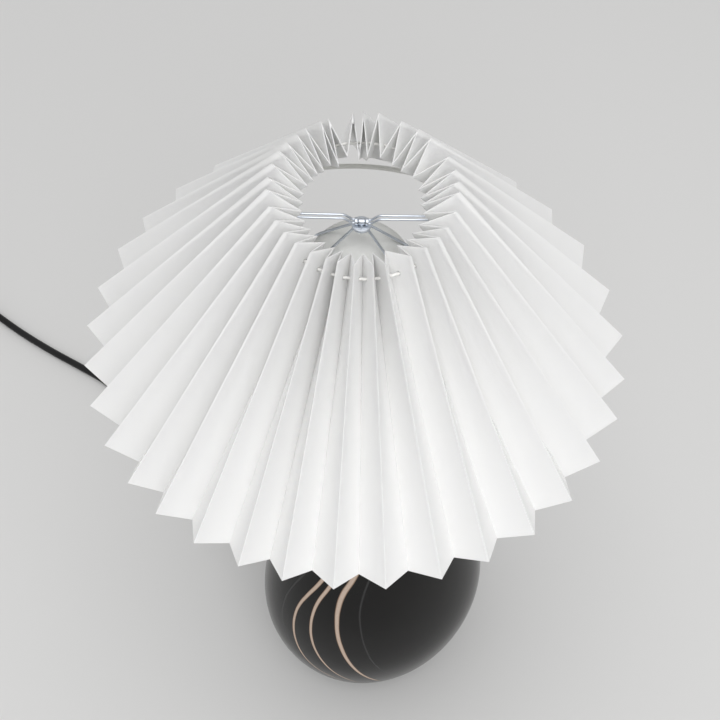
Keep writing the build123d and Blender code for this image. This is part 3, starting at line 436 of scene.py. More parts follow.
@dataclass(frozen=True)
class Moulded:
    """Plastic, rubber, felt or fired clay: one colour with a fine grain and a little wear."""

    name: str
    colour: Colour
    roughness: float
    grain: Grain = Grain.FINE
    relief: float = 0.25
    lift: float = 1.5
    shine: float = 0.3

    def make(self) -> bpy.types.Material:
        """Grain the surface and vary its tone.

        Returns:
            The material.
        """
        shader = Shader(self.name)
        place = shader.place()
        grain = shader.noise(place, self.grain.value, 2.0, 0.6)
        clouds = shader.noise(place, 60.0, 2.0)
        pale = tuple(min(1.0, c * self.lift + 0.004) for c in self.colour)
        tone = shader.mix(clouds.eased(0.35, 0.8) * 0.5 + grain * 0.2, self.colour, pale)
        return shader.finish(Base_Color=tone, Roughness=self.roughness + 0.12 * clouds - 0.06,
                             Normal=shader.bump(grain, self.relief, 0.05 * MM), Specular_IOR_Level=self.shine)


@dataclass(frozen=True)
class Metal:
    """Bright or plated metal with fine drawn lines and dulled patches."""

    name: str
    colour: Colour
    roughness: float
    drawn: Colour = (700.0, 700.0, 90.0)

    def make(self) -> bpy.types.Material:
        """Lay drawn lines and dull patches over the metal.

        Returns:
            The material.
        """
        shader = Shader(self.name)
        place = shader.place()
        lines = shader.noise(shader.stretched(place, self.drawn), 1.0, 2.0)
        patches = shader.noise(place, 120.0, 3.0)
        tone = shader.mix(patches.eased(0.45, 0.8) * 0.3, self.colour, scaled(self.colour, 0.78))
        rough = self.roughness + 0.14 * patches + 0.06 * lines
        return shader.finish(Base_Color=tone, Roughness=rough, Metallic=1.0,
                             Normal=shader.bump(lines, 0.12, 0.02 * MM))


@dataclass(frozen=True)
class Glass:
    """Clear or frosted glass."""

    name: str
    colour: Colour
    roughness: float
    clear: float

    def make(self) -> bpy.types.Material:
        """Cloud the glass a little.

        Returns:
            The material.
        """
        shader = Shader(self.name)
        frost = shader.noise(shader.place(), 1500.0, 2.0)
        clouds = shader.noise(shader.place(), 40.0, 2.0)
        tone = shader.mix(clouds, self.colour, scaled(self.colour, 0.97))
        return shader.finish(Base_Color=tone, Roughness=self.roughness + 0.1 * frost, IOR=1.45,
                             Transmission_Weight=self.clear, Normal=shader.bump(frost, 0.05, 0.02 * MM))


@dataclass(frozen=True)
class Twist:
    """Two-ply string, on a torus map: along it and round it."""

    name: str = "white_string"
    colour: Colour = (0.88, 0.875, 0.85)
    turns: float = -80.0

    def make(self) -> bpy.types.Material:
        """Lay the plies slantwise round the string.

        Returns:
            The material.
        """
        shader = Shader(self.name)
        sheet = shader.place("UV")
        slant = shader.axis(sheet, "X") * self.turns + shader.axis(sheet, "Y") * 2
        ply = (slant * (2 * pi)).sine() * 0.5 + 0.5
        tone = shader.mix(ply, scaled(self.colour, 0.85), self.colour)
        fibres = shader.noise(shader.stretched(sheet, (2400.0, 12.0, 1.0)), 1.0, 2.0)
        return shader.finish(Base_Color=tone, Roughness=0.85, Normal=shader.bump(fibres, 0.4, 0.1 * MM))


RECIPES = (
    Paper(), Glaze(),
    Moulded("felt", (0.030, 0.030, 0.031), 0.95, Grain.MEDIUM, 0.8),
    Moulded("black_rubber", (0.014, 0.014, 0.014), 0.62, Grain.MEDIUM),
    Moulded("black_plastic", (0.016, 0.016, 0.017), 0.42),
    Moulded("black_rocker", (0.022, 0.022, 0.023), 0.32),
    Moulded("cord_sheath", (0.006, 0.006, 0.0065), 0.34, Grain.COARSE, 0.12),
    Moulded("black_enamel", (0.014, 0.014, 0.014), 0.30, Grain.MEDIUM, 0.15),
    Moulded("white_enamel", (0.80, 0.80, 0.77), 0.40, Grain.MEDIUM, 0.15, 1.05),
    Moulded("fired_clay", (0.74, 0.72, 0.66), 0.60, Grain.MEDIUM, 0.4, 1.1),
    Moulded("phosphor", (0.80, 0.52, 0.10), 0.55, Grain.MEDIUM, 0.3, 1.1),
    Moulded("black_glass", (0.008, 0.008, 0.010), 0.12, Grain.MEDIUM, 0.05),
    Metal("plated_steel", (0.60, 0.60, 0.59), 0.30),
    Metal("spring_steel", (0.66, 0.70, 0.76), 0.30),
    Metal("nickel", (0.66, 0.64, 0.60), 0.22),
    Metal("brass", (0.72, 0.52, 0.22), 0.28),
    Metal("cap_aluminium", (0.72, 0.72, 0.71), 0.34),
    Glass("frosted_glass", (0.94, 0.945, 0.92), 0.35, 0.04),
    Glass("clear_glass", (0.93, 0.95, 0.95), 0.05, 1.0),
    Twist())


# ---- hand operations -----------------------------------------------------------------------------


@dataclass(frozen=True)
class Ring:
    """One ring of a raised shape: its height, half sizes and middle."""

    height: float
    half_x: float
    half_y: float = 0.0
    middle_x: float = 0.0
    middle_y: float = 0.0

    @property
    def deep(self) -> float:
        """Half size along Y, the same as along X unless given."""
        return self.half_y or self.half_x

    @property
    def middle(self) -> Vector:
        """Point at the ring's middle."""
        return Vector((self.middle_x, self.middle_y, self.height))


def let_go() -> None:
    """Leave edit mode and deselect everything."""
    if bpy.context.object and bpy.context.object.mode != "OBJECT":
        bpy.ops.object.mode_set(mode="OBJECT")
    bpy.ops.object.select_all(action="DESELECT")


def pick(piece: bpy.types.Object) -> None:
    """Make one piece the selected and active one.

    Args:
        piece: The piece.
    """
    let_go()
    piece.select_set(True)
    bpy.context.view_layer.objects.active = piece


@contextmanager
def editing(piece: bpy.types.Object) -> Iterator[None]:
    """Hold a piece in edit mode with everything selected.

    Args:
        piece: The piece.

    Returns:
        What a with block takes.
    """
    pick(piece)
    bpy.ops.object.mode_set(mode="EDIT")
    bpy.ops.mesh.select_all(action="SELECT")
    yield
    bpy.ops.object.mode_set(mode="OBJECT")


def linked(name: str, data: bpy.types.ID) -> bpy.types.Object:
    """Put new data into the scene as an object.

    Args:
        name: Name of the object.
        data: Its mesh, curve, light or camera.

    Returns:
        The object.
    """
    thing = bpy.data.objects.new(name, data)
    bpy.context.scene.collection.objects.link(thing)
    return thing


def settle(piece: bpy.types.Object, name: str) -> bpy.types.Object:
    """Name a piece and write its place into its mesh.

    Args:
        piece: The piece.
        name: Its name.

    Returns:
        The same piece.
    """
    pick(piece)
    piece.name = name
    piece.data.name = name
    bpy.ops.object.transform_apply(location=True, rotation=True, scale=True)
    return piece


def raised(name: str, count: int, rings: Sequence[Ring]) -> bpy.types.Object:
    """Raise a shape ring by ring from a circle.

    Args:
        name: Name of the piece.
        count: Corners in each ring.
        rings: The rings in order.

    Returns:
        The shape as a shell, in object mode.
    """
    let_go()
    first = rings[0]
    bpy.ops.mesh.primitive_circle_add(vertices=count, radius=1.0, location=(0, 0, 0))
    piece = bpy.context.object
    with editing(piece):
        bpy.ops.transform.resize(value=(first.half_x, first.deep, 1.0), center_override=(0, 0, 0))
        bpy.ops.transform.translate(value=first.middle)
        for before, ring in zip(rings, rings[1:]):
            bpy.ops.mesh.extrude_region_move(TRANSFORM_OT_translate={"value": ring.middle - before.middle})
            bpy.ops.transform.resize(value=(ring.half_x / before.half_x, ring.deep / before.deep, 1.0),
                                     center_override=ring.middle)
        bpy.ops.mesh.select_all(action="SELECT")
        bpy.ops.mesh.normals_make_consistent(inside=False)
    return settle(piece, name)


def modified(piece: bpy.types.Object, kind: str, **settings: object) -> bpy.types.Object:
    """Add one modifier and apply it.

    Args:
        piece: The piece.
        kind: Type of the modifier.
        settings: Its properties.

    Returns:
        The same piece.
    """
    pick(piece)
    modifier = piece.modifiers.new(kind.lower(), kind)
    for name, value in settings.items():
        setattr(modifier, name, value)
    bpy.ops.object.modifier_apply(modifier=modifier.name)
    return piece


def smoothed(piece: bpy.types.Object, angle: float) -> bpy.types.Object:
    """Shade a piece smooth except at sharp edges.

    Args:
        piece: The piece.
        angle: Edges sharper than this many degrees stay sharp.

    Returns:
        The same piece.
    """
    pick(piece)
    bpy.ops.object.shade_smooth_by_angle(angle=radians(angle))
    return piece


def eased_copy(source: bpy.types.Object, name: str, bevel: float) -> bpy.types.Object:
    """Copy a solid, merge its corners, ease its edges and shade it.

    Args:
        source: The solid.
        name: Name of the copy.
        bevel: Width of the eased edges, or nought for none.

    Returns:
        The copy.
    """
    piece = linked(name, source.data.copy())
    with editing(piece):
        bpy.ops.mesh.remove_doubles(threshold=0.002 * MM)
        bpy.ops.mesh.dissolve_limited(angle_limit=radians(0.5))
    if bevel:
        modified(piece, "BEVEL", width=bevel, segments=2, limit_method="ANGLE", angle_limit=radians(SHARP_EDGE))
    return smoothed(piece, SHARP_EDGE)


@dataclass
class Assembly:
    """Sub-assembly of the lamp, which builds its pieces and dresses them."""

    frame: dict
    finishes: dict[str, bpy.types.Material]

    def dressed(self, piece: bpy.types.Object, finish: str, body: str, *nodes: str) -> bpy.types.Object:
        """Give a finished piece its material and its body, and hide the solids that it stands for.

        Args:
            piece: The piece.
            finish: Name of its finish.
            body: The body that it moves with.
            nodes: The solids that it replaces.

        Returns:
            The same piece.
        """
        piece.data.materials.clear()
        piece.data.materials.append(self.finishes[finish])
        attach(piece, body)
        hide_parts(*nodes)
        LOG.info("%s rides on %s with %d faces", piece.name, body,
                 len(piece.data.polygons) if piece.type == "MESH" else 0)
        return piece

    def copied(self, finish: str, body: str = "root", **edges: float) -> list[bpy.types.Object]:
        """Copy solids, ease their edges and dress the copies.

        Args:
            finish: Name of their finish.
            body: The body that they move with.
            edges: Width of the eased edges in millimetres, by the solid's name.

        Returns:
            The copies.
        """
        return [self.dressed(eased_copy(self.frame["nodes"][node], node + "_eased", width * MM),
                             finish, body, node) for node, width in edges.items()]


# ---- base ----------------------------------------------------------------------------------------


@dataclass
class CeramicBase(Assembly):
    """Tall oval base with its felt, neck metalwork and the cord's sleeve."""

    belly_a: float = 85 * MM
    belly_b: float = 75 * MM
    belly_z: float = 85 * MM
    belly_turn: float = radians(36)
    belly_shift: float = 6.2 * MM
    neck_r: float = 20 * MM
    neck_top: float = 352 * MM
    felt: float = 2 * MM
    foot_share: float = 0.54
    foot_curve: float = 1.65
    foot_hollow: float = 4 * MM
    foot_wall: float = 6 * MM
    edge: float = 1.2 * MM
    bore_r: float = 5.5 * MM
    low_shares: tuple = (0.006, 0.03, 0.08, 0.16, 0.28, 0.44, 0.62, 0.8)
    high_rings: int = 14

    def _share(self, z: float) -> float:
        """Size of the base at a height next to its belly.

        Args:
            z: The height.

        Returns:
            One at the belly, the foot's share at the foot and nought at the neck's top.
        """
        if z <= self.belly_z:
            low = (self.belly_z - z) / (self.belly_z - self.felt)
            return self.foot_share + (1 - self.foot_share) * sqrt(1 - low ** self.foot_curve)
        high = (z - self.belly_z) / (self.neck_top - self.belly_z)
        return 0.5 + 0.5 * cos(pi * high ** 0.9)

    def _oval(self, z: float, inset: float = 0.0) -> Ring:
        """Ring of the wall at a height, drawn with the oval's long axis along X.

        Args:
            z: The height.
            inset: How far inside the wall's outside it runs.

        Returns:
            The ring.
        """
        share = self._share(z)
        half_a, half_b, shift = self.belly_a * share, self.belly_b * share, self.belly_shift
        if z > self.belly_z:
            half_a = self.neck_r + (self.belly_a - self.neck_r) * share
            half_b = self.neck_r + (self.belly_b - self.neck_r) * share
            shift = self.belly_shift * share
        turn = self.belly_turn
        return Ring(z, half_a - inset, half_b - inset, shift * cos(turn), -shift * sin(turn))

    def _body(self) -> bpy.types.Object:
        """Raise the glazed body from inside its foot, up the wall and in over the neck's rim.

        Returns:
            The body.
        """
        foot, top = self.felt, self.neck_top
        rings = [replace(self._oval(foot, self.foot_wall), height=foot + self.foot_hollow),
                 self._oval(foot, self.foot_wall - 1 * MM), self._oval(foot, self.edge)]
        low = [foot + (self.belly_z - foot) * share for share in self.low_shares]
        high = [self.belly_z + (top - self.belly_z) * k / self.high_rings for k in range(self.high_rings)]
        rings += [self._oval(z) for z in low + high]
        rings += [self._oval(top - self.edge), self._oval(top, 0.9 * MM), self._oval(top, 3 * MM)]
        rings += [Ring(top, self.bore_r), Ring(top - 5 * MM, self.bore_r - 0.1 * MM)]
        body = raised("glazed_body", 64, rings)
        modified(body, "SUBSURF", levels=2, render_levels=2)
        body.data.transform(Matrix.Rotation(self.belly_turn, 4, "Z"))
        return smoothed(body, 60)

    def build(self) -> None:
        """Build and dress the base's pieces."""
        self.dressed(self._body(), "glaze", "root", "ceramic_body")
        self.copied("felt", base_felt=0.3)
        self.copied("black_rubber", neck_gasket=0.1, cord_sleeve=0.2)
        self.copied("black_enamel", neck_cap=0.3)
        self.copied("plated_steel", neck_washer=0.1, threaded_tube=0.0, tube_nuts=0.25)


# ---- lamp holder and bulb ------------------------------------------------------------------------


class LampHolder(Assembly):
    """Two-part holder with its core, contacts, screws and threaded sleeve."""

    def build(self) -> None:
        """Build and dress the holder's pieces."""
        self.copied("black_plastic", holder_cap=0.4, holder_skirt=0.3)
        self.copied("fired_clay", holder_core=0.3)
        self.copied("brass", terminal_screws=0.12, centre_contact=0.1)
        self.copied("plated_steel", core_screws=0.12, thread_sleeve=0.0)


@dataclass
class Bulb(Assembly):
    """Round bulb with its glass, screw cap, stem and filaments, its sizes in millimetres."""

    radius: float = 30.0
    wall: float = 0.9
    neck_r: float = 12.0
    shoulder: float = 125.0
    centre_z: float = 469.0
    mouth_z: float = 412.0
    flare: tuple = ((0.0, 8.0), (0.5, 3.5), (1.7, 0.0))
    slope_shares: tuple = (0.32, 0.62)
    arc_steps: int = 16
    pole_r: float = 0.01

    def _glass_profile(self, inset: float) -> list[tuple[float, float]]:
        """Corners of the glass, from the mouth up to near the top.

        Args:
            inset: How far inside the glass's outside they lie.

        Returns:
            Pairs of radius and height.
        """
        radius, neck = self.radius - inset, self.neck_r - inset
        turn = radians(self.shoulder)
        foot_z = self.centre_z + radius * cos(turn)
        foot_r = radius * sin(turn)
        corner_z = foot_z - (foot_r - neck) * tan(pi - turn)
        corners = [(neck, self.mouth_z), *((neck + out, corner_z - down) for out, down in self.flare)]
        corners += [(neck + (foot_r - neck) * share, corner_z + (foot_z - corner_z) * share)
                    for share in self.slope_shares]
        for step in range(self.arc_steps):
            angle = turn * (1 - step / self.arc_steps)
            corners.append((radius * sin(angle), self.centre_z + radius * cos(angle)))
        return corners + [(self.pole_r, self.centre_z + radius)]

    def _glass(self) -> bpy.types.Object:
        """Raise the glass outside and in, joined at its mouth.

        Returns:
            The glass.
        """
        path = [*reversed(self._glass_profile(self.wall)), *self._glass_profile(0.0)]
        glass = raised("bulb_envelope", 64, [Ring(height * MM, radius * MM) for radius, height in path])
        with editing(glass):
            bpy.ops.mesh.remove_doubles(threshold=0.05 * MM)
            bpy.ops.mesh.normals_make_consistent(inside=False)
        return smoothed(glass, 60)

    def build(self) -> None:
        """Build and dress the bulb's pieces."""
        self.dressed(self._glass(), "frosted_glass", "bulb", "bulb_glass")
        self.copied("cap_aluminium", "bulb", bulb_cap=0.15)
        self.copied("black_glass", "bulb", bulb_insulator=0.2)
        self.copied("plated_steel", "bulb", bulb_contact=0.15, filament_wires=0.0)
        self.copied("clear_glass", "bulb", bulb_stem=0.2)
        self.copied("phosphor", "bulb", bulb_filaments=0.1)


# ---- clip and shade ------------------------------------------------------------------------------


class SpringClip(Assembly):
    """Wire clip on the bulb and the barrel that carries the shade."""

    def build(self) -> None:
        """Build and dress the clip's pieces."""
        self.copied("spring_steel", "clip", clip_loop_left=0.0, clip_loop_right=0.0, clip_ring=0.25)
        self.copied("spring_steel", "swivel", clip_barrel=0.2)
        self.copied("spring_steel", "shade", carrier_axle=0.2, carrier_wire_left=0.0, carrier_wire_right=0.0)


@dataclass
class PleatedShade(Assembly):
    """Hand-pleated paper shade, its gathering string and its hoop, drawn from the centre of the hem."""

    hem_r: float = 150 * MM
    top_r: float = 46.3 * MM
    top_swell: float = 2.1 * MM
    swell_spread: float = 22.5
    top_rise: float = 131.8 * MM
    panel: float = 20.5 * MM
    slant: float = 168 * MM
    paper: float = 0.45 * MM
    bow: float = 0.35 * MM
    steps: int = 16
    across: int = 4
    string_r: float = 42 * MM
    string_rise: float = 115.5 * MM
    string_half: float = 0.7 * MM
    string_twists: int = 40
    string_waist: float = 0.86
    string_swell: float = 0.24
    hole_half: float = 1.2 * MM
    slot: tuple = (8.2 * MM, 4.1 * MM, 1.8 * MM)
    slot_inside: float = 4 * MM
    slot_rise: float = 109 * MM
    # share of the round that each pleat takes at the hem and at the top, from the back left by the front
    hem_shares: tuple = (11, 11, 10, 11, 10, 10, 10, 10, 10, 9, 10, 10, 9, 10, 10, 11, 10,
                         11, 11, 11, 11, 10, 11, 12, 13, 12, 11, 11, 11, 10, 11, 11, 10, 11)
    top_shares: tuple = (7, 9, 8, 11, 11, 9, 13, 11, 10, 10, 11, 10, 7, 10, 11, 7, 16,
                         11, 11, 9, 13, 15, 8, 9, 11, 18, 10, 12, 15, 9, 6, 16, 5, 11)
    hem_start: float = -143.0
    top_start: float = -140.0

    @staticmethod
    def _round_point(turn: float, radius: float, z: float) -> Vector:
        """Point at an angle in degrees from the front towards +X."""
        return Vector((radius * sin(radians(turn)), -radius * cos(radians(turn)), z))

    @staticmethod
    def _angles(shares: Sequence[int], start: float) -> list[float]:
        """Angles of the outer folds, with the first again at the end."""
        whole = sum(shares)
        return [start + 360 * sum(shares[:k]) / whole for k in range(len(shares) + 1)]

    def _inner_fold(self, left: float, right: float, radius: float, z: float) -> Vector:
        """Inner fold between two outer folds, as deep as the paper's width allows.

        Args:
            left: Angle of one outer fold in degrees.
            right: Angle of the next.
            radius: Radius at the outer folds.
            z: Their height.

        Returns:
            Point of the inner fold.
        """
        half = radians((right - left) / 2)
        run, rise = self.hem_r - self.top_r, self.top_rise
        length = sqrt(run * run + rise * rise)
        depth = sqrt(self.panel ** 2 - (radius * sin(half)) ** 2)
        return self._round_point((left + right) / 2, radius * cos(half) - depth * rise / length,
                                 z - depth * run / length)

    def _top_radius(self, turn: float) -> float:
        """Radius of the gathered top at an angle in degrees, a little larger at the back."""
        off = abs((turn + 360) % 360 - 180)
        return self.top_r + self.top_swell * cos(radians(90 * min(off / self.swell_spread, 1)))

    def folds(self) -> list[tuple[Vector, Vector]]:
        """Lay out all folds in order, outer and inner in turn.

        Returns:
            Pairs of hem point and top point.
        """
        hem = self._angles(self.hem_shares, self.hem_start)
        top = self._angles(self.top_shares, self.top_start)
        lines = []
        for k in range(len(self.hem_shares)):
            middle = self._top_radius((top[k] + top[k + 1]) / 2)
            lines.append((self._round_point(hem[k], self.hem_r, 0),
                          self._round_point(top[k], self._top_radius(top[k]), self.top_rise)))
            lines.append((self._inner_fold(hem[k], hem[k + 1], self.hem_r, 0),
                          self._inner_fold(top[k], top[k + 1], middle, self.top_rise)))
        return lines

    def _sheet_point(self, lines: list, column: int, step: int) -> Vector:
        """Point of the paper: a fold, or between two folds on a slightly bowed panel.

        Args:
            lines: The folds.
            column: Count of columns from the first fold, with several to a panel.
            step: Count of steps up from the hem.

        Returns:
            The point.
        """
        fold, part = divmod(column, self.across)
        here, after = lines[fold % len(lines)], lines[(fold + 1) % len(lines)]
        up = step / self.steps
        first, last = here[0].lerp(here[1], up), after[0].lerp(after[1], up)
        share = part / self.across
        out = (last - first).cross(here[1] - here[0]).normalized()
        # the sine of the fold's number bows the panels unevenly, some in and some out
        bow = self.bow * sin(pi * share) * sin(pi * up) * sin(fold * 2.4 + 1.1)
        return first.lerp(last, share) + out * bow

    def _paper(self) -> bpy.types.Object:
        """Fold the sheet from a ring of corners, step by step up to the gathered top.

        Returns:
            The paper with its thickness, holes and slots.
        """
        lines = self.folds()
        columns = len(lines) * self.across
        let_go()
        bpy.ops.mesh.primitive_circle_add(vertices=columns, radius=self.hem_r, location=(0, 0, 0))
        piece = bpy.context.object
        with editing(piece):
            for _ in range(self.steps):
                bpy.ops.mesh.extrude_region_move(
                    TRANSFORM_OT_translate={"value": (0, 0, self.top_rise / self.steps)})
        self._fold(piece.data, lines, columns)
        with editing(piece):
            bpy.ops.mesh.normals_make_consistent(inside=False)
        modified(piece, "SOLIDIFY", thickness=self.paper, offset=-1.0, use_even_offset=True)
        return smoothed(settle(self._punched(piece, lines), "folded_paper"), 40)

    def _punched(self, piece: bpy.types.Object, lines: list) -> bpy.types.Object:
        """Punch the string's hole through each panel and the slots for the carrier wires' ends.

        Args:
            piece: The folded paper.
            lines: Its folds.

        Returns:
            The same piece.
        """
        tools = [self._hoop(self.hole_half, 144, 10)]
        up = self.slot_rise
        inner = [hem + (top - hem) * ((up - hem.z) / (top.z - hem.z)) for hem, top in lines[1::2]]
        for side in (-1, 1):
            fold = max(inner, key=lambda point: side * point.x / point.xy.length)
            middle = fold.xy.normalized() * (fold.xy.length + self.slot[0] / 2 - self.slot_inside)
            bpy.ops.mesh.primitive_cube_add(size=1.0, location=(*middle, up), scale=self.slot,
                                            rotation=(0, 0, atan2(fold.y, fold.x)))
            tools.append(bpy.context.object)
        for tool in tools:
            modified(piece, "BOOLEAN", object=tool, operation="DIFFERENCE", solver="EXACT")
            bpy.data.objects.remove(tool)
        return piece

    def _fold(self, mesh: bpy.types.Mesh, lines: list, columns: int) -> None:
        """Put each corner of the raised ring on its place of the folded sheet, and map the flat sheet.

        Args:
            mesh: The raised ring.
            lines: The folds.
            columns: Corners in one ring.
        """
        shape = bmesh.new()
        shape.from_mesh(mesh)
        flat = shape.loops.layers.uv.new("sheet")
        places = {}
        for vert in shape.verts:
            step = round(vert.co.z / self.top_rise * self.steps)
            column = round(atan2(vert.co.x, -vert.co.y) / (2 * pi) * columns) % columns
            places[vert] = (column, step)
        for vert, (column, step) in places.items():
            vert.co = self._sheet_point(lines, column, step)
        for face in shape.faces:
            crossing = max(places[v][0] for v in face.verts) - min(places[v][0] for v in face.verts) > 1
            for loop in face.loops:
                column, step = places[loop.vert]
                if crossing and column == 0:
                    column = columns
                loop[flat].uv = (column * self.panel / self.across, step * self.slant / self.steps)
        shape.to_mesh(mesh)
        shape.free()

    def _hoop(self, half: float, round_count: int, across_count: int) -> bpy.types.Object:
        """Add a plain ring along the string's line.

        Args:
            half: Half of its thickness.
            round_count: Corners along it.
            across_count: Corners round its section.

        Returns:
            The ring.
        """
        let_go()
        bpy.ops.mesh.primitive_torus_add(major_radius=self.string_r, minor_radius=half,
                                         major_segments=round_count, minor_segments=across_count,
                                         location=(0, 0, self.string_rise))
        return bpy.context.object

    def _string(self) -> bpy.types.Object:
        """Lay a two-ply string round the gathered top.

        Returns:
            The string.
        """
        piece = self._hoop(self.string_half, 12 * self.string_twists, 12)
        for vert in piece.data.vertices:
            turn = atan2(vert.co.y, vert.co.x)
            outward = Vector((cos(turn), sin(turn), 0))
            off = vert.co - outward * self.string_r
            ply = abs(cos(atan2(off.z, off.dot(outward)) - self.string_twists * turn))
            vert.co = outward * self.string_r + off * (self.string_waist + self.string_swell * ply)
        return smoothed(settle(piece, "string_round_top"), 60)

    def _place(self, piece: bpy.types.Object) -> bpy.types.Object:
        """Move a piece from the hem's frame to the lamp, leaning about the bulb's centre as the clip sits.

        Args:
            piece: The piece.

        Returns:
            The same piece.
        """
        piece.data.transform(Matrix.Translation((0, 0, -HEM_BELOW_BULB)))
        piece.data.transform(Matrix.Translation(BULB_CENTRE) @ Matrix.Rotation(SHADE_LEAN, 4, "Y"))
        return piece

    def build(self) -> None:
        """Build and dress the shade's pieces."""
        self.dressed(self._place(self._paper()), "shade_paper", "shade", "pleated_shade")
        self.dressed(self._place(self._string()), "white_string", "shade", "gather_string")
        self.copied("white_enamel", "shade", hem_hoop=0.0)


# ---- cord, switch and plug -----------------------------------------------------------------------


@dataclass
class PowerCord(Assembly):
    """Black cord with its rocker switch, spare coil and plug."""

    radius: float = 3 * MM
    floor: float = 3.05 * MM
    # the route on the table, in metres, after the straight run out of the sleeve
    route: tuple = ((-0.1040, 0.0858, 0.0086), (-0.1280, 0.1052, 0.0044), (-0.1530, 0.1260, 0.00305),
                    (-0.1810, 0.1510, 0.00305), (-0.2100, 0.1830, 0.00305), (-0.2370, 0.2105, 0.00305),
                    (-0.2650, 0.2265, 0.00305), (-0.2960, 0.2433, 0.00305), (-0.3290, 0.2638, 0.00305),
                    (-0.3570, 0.2840, 0.0036), (-0.3770, 0.2980, 0.0062))
    exit_turn: float = radians(140.5)
    exit_z: float = 12 * MM
    exit_run: float = 22 * MM
    sleeve_tip_r: float = 3.9 * MM
    switch_at: tuple = (-0.440, 0.318)
    switch_turn: float = radians(170)
    switch_z: float = 9.6 * MM
    switch_l: float = 62 * MM
    switch_lead: float = 14 * MM
    switch_grip: float = 6 * MM
    coil_from_switch: float = 58 * MM
    coil_mid: float = 33 * MM
    coil_pitch: float = 6.7 * MM
    coil_turns: float = 5.5
    coil_layer: float = 6.55 * MM
    coil_lead_in: tuple = (26 * MM, 9 * MM)
    coil_lift: float = 0.12
    per_turn: int = 16
    plug_t: float = 14 * MM
    plug_run: float = 34 * MM
    plug_ease: float = 10 * MM

    def _switch_point(self, along: float, z: float) -> Vector:
        """Point on the line through the switch at a distance from its middle."""
        return Vector((*self.switch_at, z)) + self._switch_way() * along

    def _switch_way(self) -> Vector:
        """Direction of the cord through the switch."""
        return Vector((cos(self.switch_turn), sin(self.switch_turn), 0))

    def _coil_radius(self, turns: float) -> float:
        """Radius of the coil after so many turns: in on the lower layer, out on the upper one."""
        half = self.coil_turns / 2
        return self.coil_mid + self.coil_pitch * half / 2 - self.coil_pitch * (half - abs(turns - half))

    def _coil_point(self, turns: float, swell: float = 1.0) -> Vector:
        """Point of the coil after so many turns.

        Args:
            turns: Turns from the start of the coil.
            swell: Factor on the radius, above 1 for the points that pull a smooth line.

        Returns:
            The point.
        """
        way = self._switch_way()
        side = Vector((-way.y, way.x, 0))
        start = self._switch_point(self.switch_l / 2 + self.coil_from_switch, self.floor)
        centre = start + side * self._coil_radius(0.0)
        turn = 2 * pi * turns
        radius = self._coil_radius(turns) * swell
        climb = min(max((turns - self.coil_turns / 2 + 0.25) / 0.5, 0.0), 1.0)
        height = self.floor + self.coil_layer * (0.5 - 0.5 * cos(pi * climb))
        flat = centre + way * (radius * sin(turn)) - side * (radius * cos(turn))
        return Vector((flat.x, flat.y, height))

    def _points(self) -> list[Vector]:
        """Lay out the route of the whole cord from the sleeve to the plug.

        Returns:
            Points that pull the smooth line.
        """
        tip = self._sleeve_tip()
        out = Vector((cos(self.exit_turn), sin(self.exit_turn), 0))
        way = self._switch_way()
        end, lead, grip = self.switch_l / 2, self.switch_lead, self.switch_grip
        start = self._coil_point(0.0)
        far, near = self.coil_lead_in
        lift = Vector((0, 0, (self.switch_z - start.z) * self.coil_lift))
        points = [tip, tip + out * self.exit_run, *[Vector(p) for p in self.route]]
        points += [self._switch_point(along, self.switch_z)
                   for along in (-end - lead, -end + grip, 0.0, end - grip, end + lead)]
        points += [start - way * far + lift, start - way * near]
        # a line of order 3 runs inside its points by this factor where they stand on a circle
        swell = 8 / (6 + 2 * cos(2 * pi / self.per_turn))
        points += [self._coil_point(k / self.per_turn, swell)
                   for k in range(1, round(self.coil_turns * self.per_turn))]
        last = self._coil_point(self.coil_turns)
        entry = last - way * self.plug_run
        entry.z = self.plug_t / 2
        ease = way * self.plug_ease
        return [*points, last, last - ease, entry + ease, entry]

    def _sleeve_tip(self) -> Vector:
        """Find where the cord comes out of its sleeve, which runs level along the exit's direction.

        Returns:
            The point.
        """
        low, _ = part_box("cord_sleeve")
        reach = (-low[0] - self.sleeve_tip_r * sin(self.exit_turn)) / -cos(self.exit_turn)
        return Vector((reach * cos(self.exit_turn), reach * sin(self.exit_turn), self.exit_z))

    def _cord(self) -> bpy.types.Object:
        """Draw the cord as one smooth curve.

        Returns:
            The curve.
        """
        let_go()
        points = self._points()
        bpy.ops.curve.primitive_nurbs_path_add(location=(0, 0, 0))
        piece = bpy.context.object
        piece.name = "power_cord"
        curve = piece.data
        curve.splines.clear()
        spline = curve.splines.new("NURBS")
        spline.points.add(len(points) - 1)
        for point, place in zip(spline.points, points):
            point.co = (*place, 1.0)
        spline.order_u = 3
        spline.use_endpoint_u = True
        spline.resolution_u = 6
        curve.bevel_depth = self.radius
        curve.bevel_resolution = 6
        curve.use_fill_caps = True
        return piece

    def build(self) -> None:
        """Build and dress the cord and what is on it."""
        on_cord = [*self.copied("black_plastic", switch_base=0.5, switch_cover=0.5, plug_body=0.8),
                   *self.copied("black_rocker", "rocker", switch_rocker=0.4),
                   *self.copied("plated_steel", switch_pin=0.0, switch_screws=0.15),
                   *self.copied("nickel", plug_pins=0.4),
                   *self.copied("black_rubber", plug_relief=0.2)]
        cord = self.dressed(self._cord(), "cord_sheath", "root", "cord_lead", "cord_coil")
        cord_length(cord)
        self.copied("cord_sheath", inner_lead=0.0)


